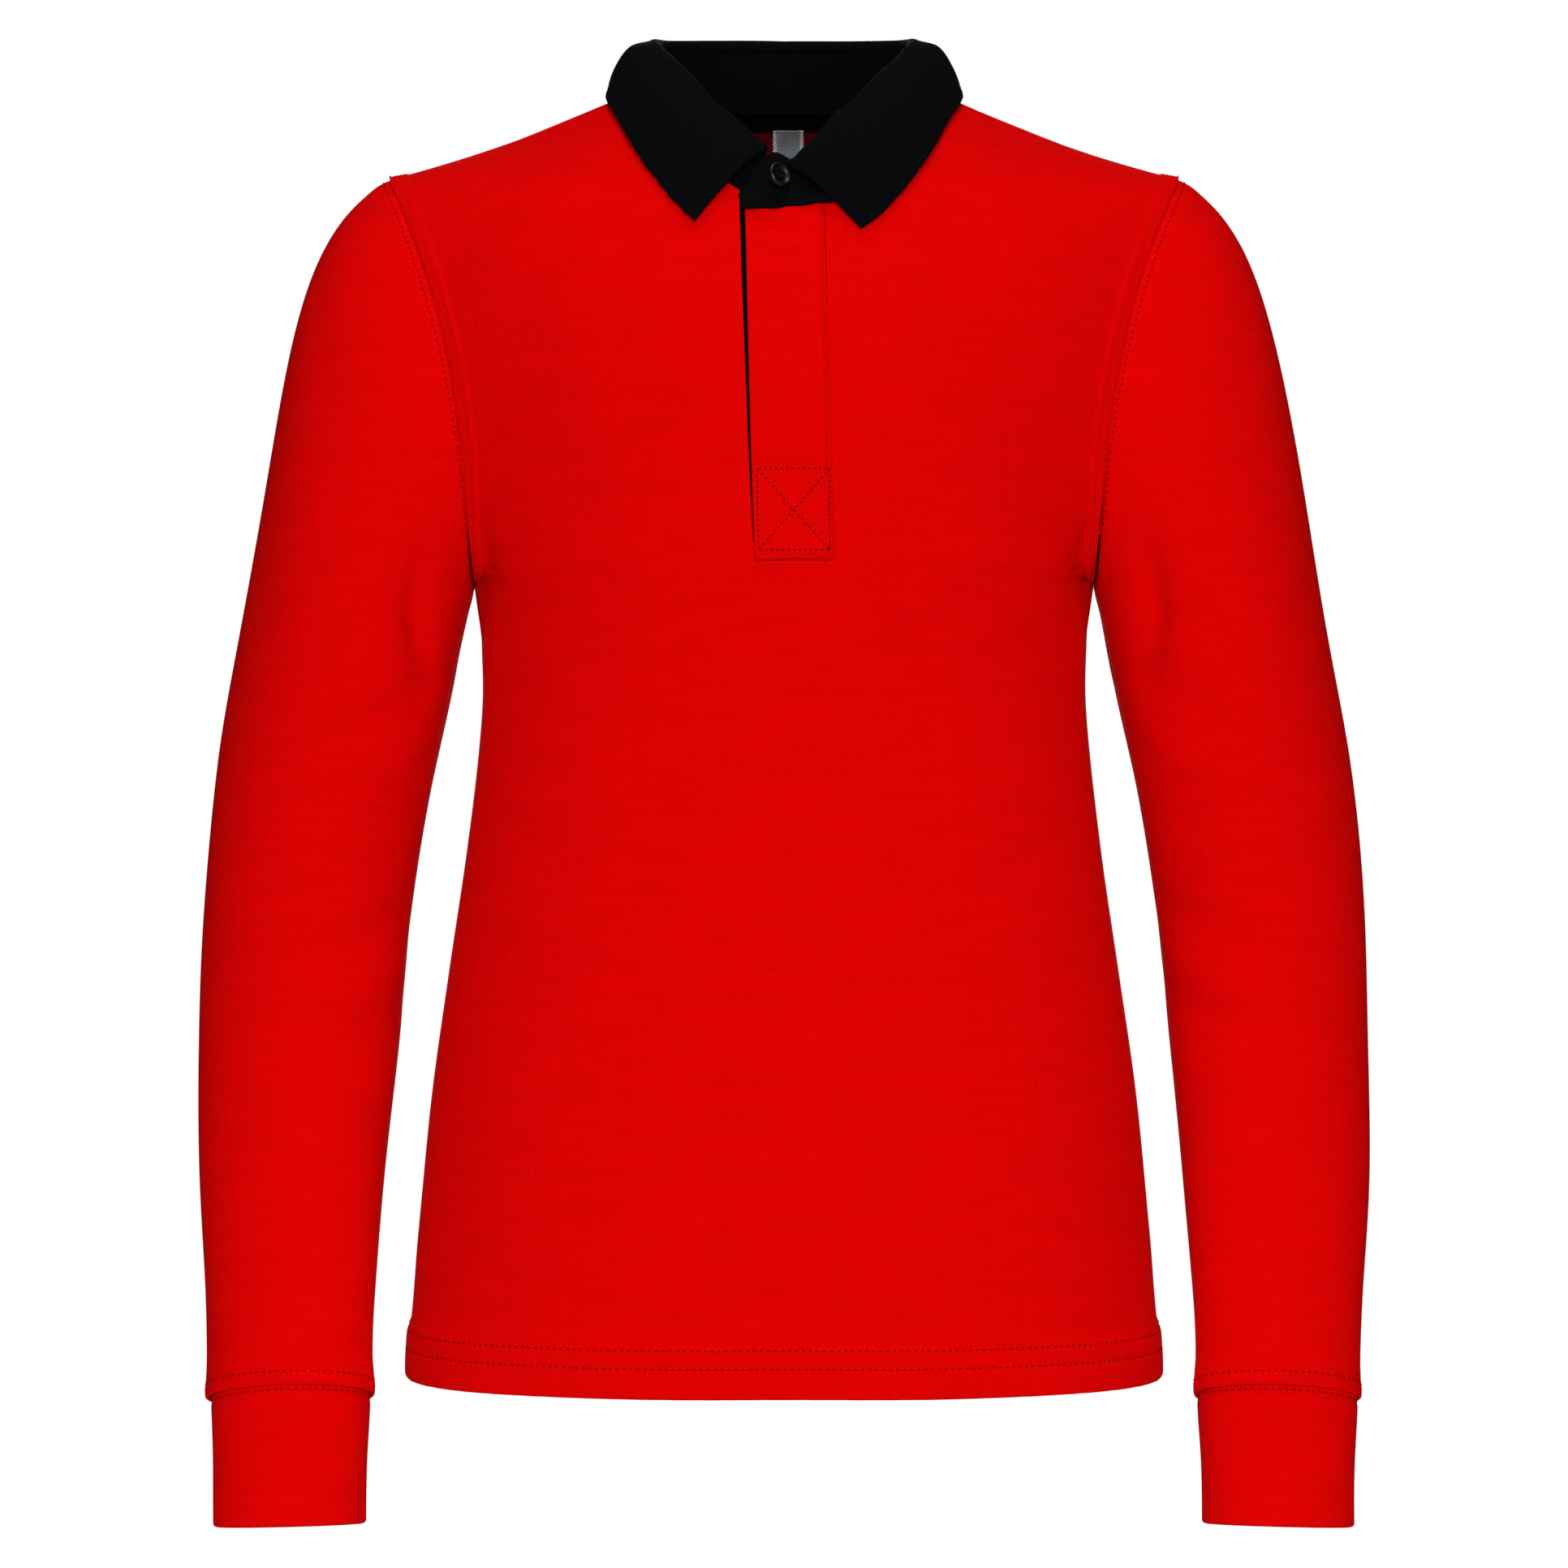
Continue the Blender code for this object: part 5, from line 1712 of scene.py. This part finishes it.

# ---------------------------------------------------------------- hiding the parts that the pieces replace

for piece, node, finish, threads in (
    (panels[FRONT], "front", "jersey", (hem_stitches, armhole_stitches)),
    (panels[BACK], "back", "jersey", ()),
    (panels["sleeve_left"], "sleeve_left", "jersey", (sleeve_threads["left"],)),
    (panels["sleeve_right"], "sleeve_right", "jersey", (sleeve_threads["right"],)),
    (panels["cuff_left"], "cuff_left", "jersey", (cuff_threads["left"],)),
    (panels["cuff_right"], "cuff_right", "jersey", (cuff_threads["right"],)),
    (placket_band, "placket_upper", "jersey", (placket_stitches, box_stitches)),
    (placket_underlap, "placket_under", "twill", ()),
    (collar_stand, "collar_stand", "twill", (stand_stitches, button_thread)),
    (collar_leaf, "collar_leaf", "twill", (leaf_stitches,)),
    (neck_tape, "neck_tape", "twill", ()),
    (size_label, "size_label", "satin", ()),
    (button_disc, "button", "plastic", ()),
):
    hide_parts(node)
    for part in (piece, *threads):
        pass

# ---------------------------------------------------------------- floor, light and camera

CAMERA_DISTANCE = 2.0
CAMERA_HEIGHT = -0.285
FRAME_WIDTH = 0.65688  # metres across the frame, level with the origin
SENSOR_WIDTH = 36  # millimetres
FLOOR_HEIGHT = -0.83
FLOOR_RADIUS = 1.25


def painted_board():
    """A studio floor of painted board: pale, matt, and very slightly uneven."""
    cloud = {"Scale": 3.0, "Detail": 2.0}
    return mottled(
        "painted_board_white", cloud, "#f1f1f0", "#f7f7f6", Roughness=0.9, Specular_IOR_Level=0.1
    )[0]


bm = bmesh.new()
ground = Matrix.Translation((0, 0, FLOOR_HEIGHT))
bmesh.ops.create_circle(bm, cap_ends=True, segments=96, radius=FLOOR_RADIUS, matrix=ground)
mesh = bpy.data.meshes.new("floor")
bm.to_mesh(mesh)
bm.free()
mesh.materials.append(painted_board())
linked("floor", mesh)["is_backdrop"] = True


def soft_light(name, place, target, size, power):
    """A round soft box, aimed at a target."""
    lamp = bpy.data.lights.new(name, "AREA")
    lamp.shape, lamp.size, lamp.energy = "DISK", size, power
    light = linked(name, lamp)
    light.location = place
    light.rotation_euler = (Vector(target) - Vector(place)).to_track_quat("-Z", "Y").to_euler()


soft_light("key", (0.1, -3.2, 0.40), (0, 0, -0.28), 1.4, 61)
soft_light("top", (0.0, -0.45, 1.7), (0, 0, -0.1), 1.2, 14)
soft_light("left_fill", (-1.9, -2.7, 0.1), (0, 0, -0.28), 1.4, 7)
soft_light("right_fill", (1.9, -2.7, 0.1), (0, 0, -0.28), 1.4, 7)
soft_light("back_fill", (0.0, 2.9, 0.4), (0, 0, -0.28), 1.8, 44)

world = bpy.data.worlds.new("studio")
bpy.context.scene.world = world
world.use_nodes = True
tree = world.node_tree
ambient = tree.nodes["Background"]
ambient.inputs["Color"].default_value = (1, 1, 1, 1)
ambient.inputs["Strength"].default_value = 0.08
backdrop = add_node(tree, "Background", {"Color": (1, 1, 1, 1), "Strength": 1.0})
seen = add_node(tree, "LightPath", {}, "Is Camera Ray")
mix = add_node(tree, "MixShader", {0: seen, 1: ambient.outputs[0], 2: backdrop})
tree.links.new(mix, tree.nodes["World Output"].inputs["Surface"])

lens = bpy.data.cameras.new("camera")
lens.sensor_width = SENSOR_WIDTH
lens.lens = SENSOR_WIDTH * CAMERA_DISTANCE / FRAME_WIDTH
camera = linked("camera", lens)
camera.location = (0, -CAMERA_DISTANCE, CAMERA_HEIGHT)
camera.rotation_euler = (pi / 2, 0, 0)
bpy.context.scene.camera = camera
bpy.context.scene.view_settings.view_transform = "Standard"

bpy.context.view_layer.update()
[[list(corner) for corner in box] for box in (cad_box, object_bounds())]
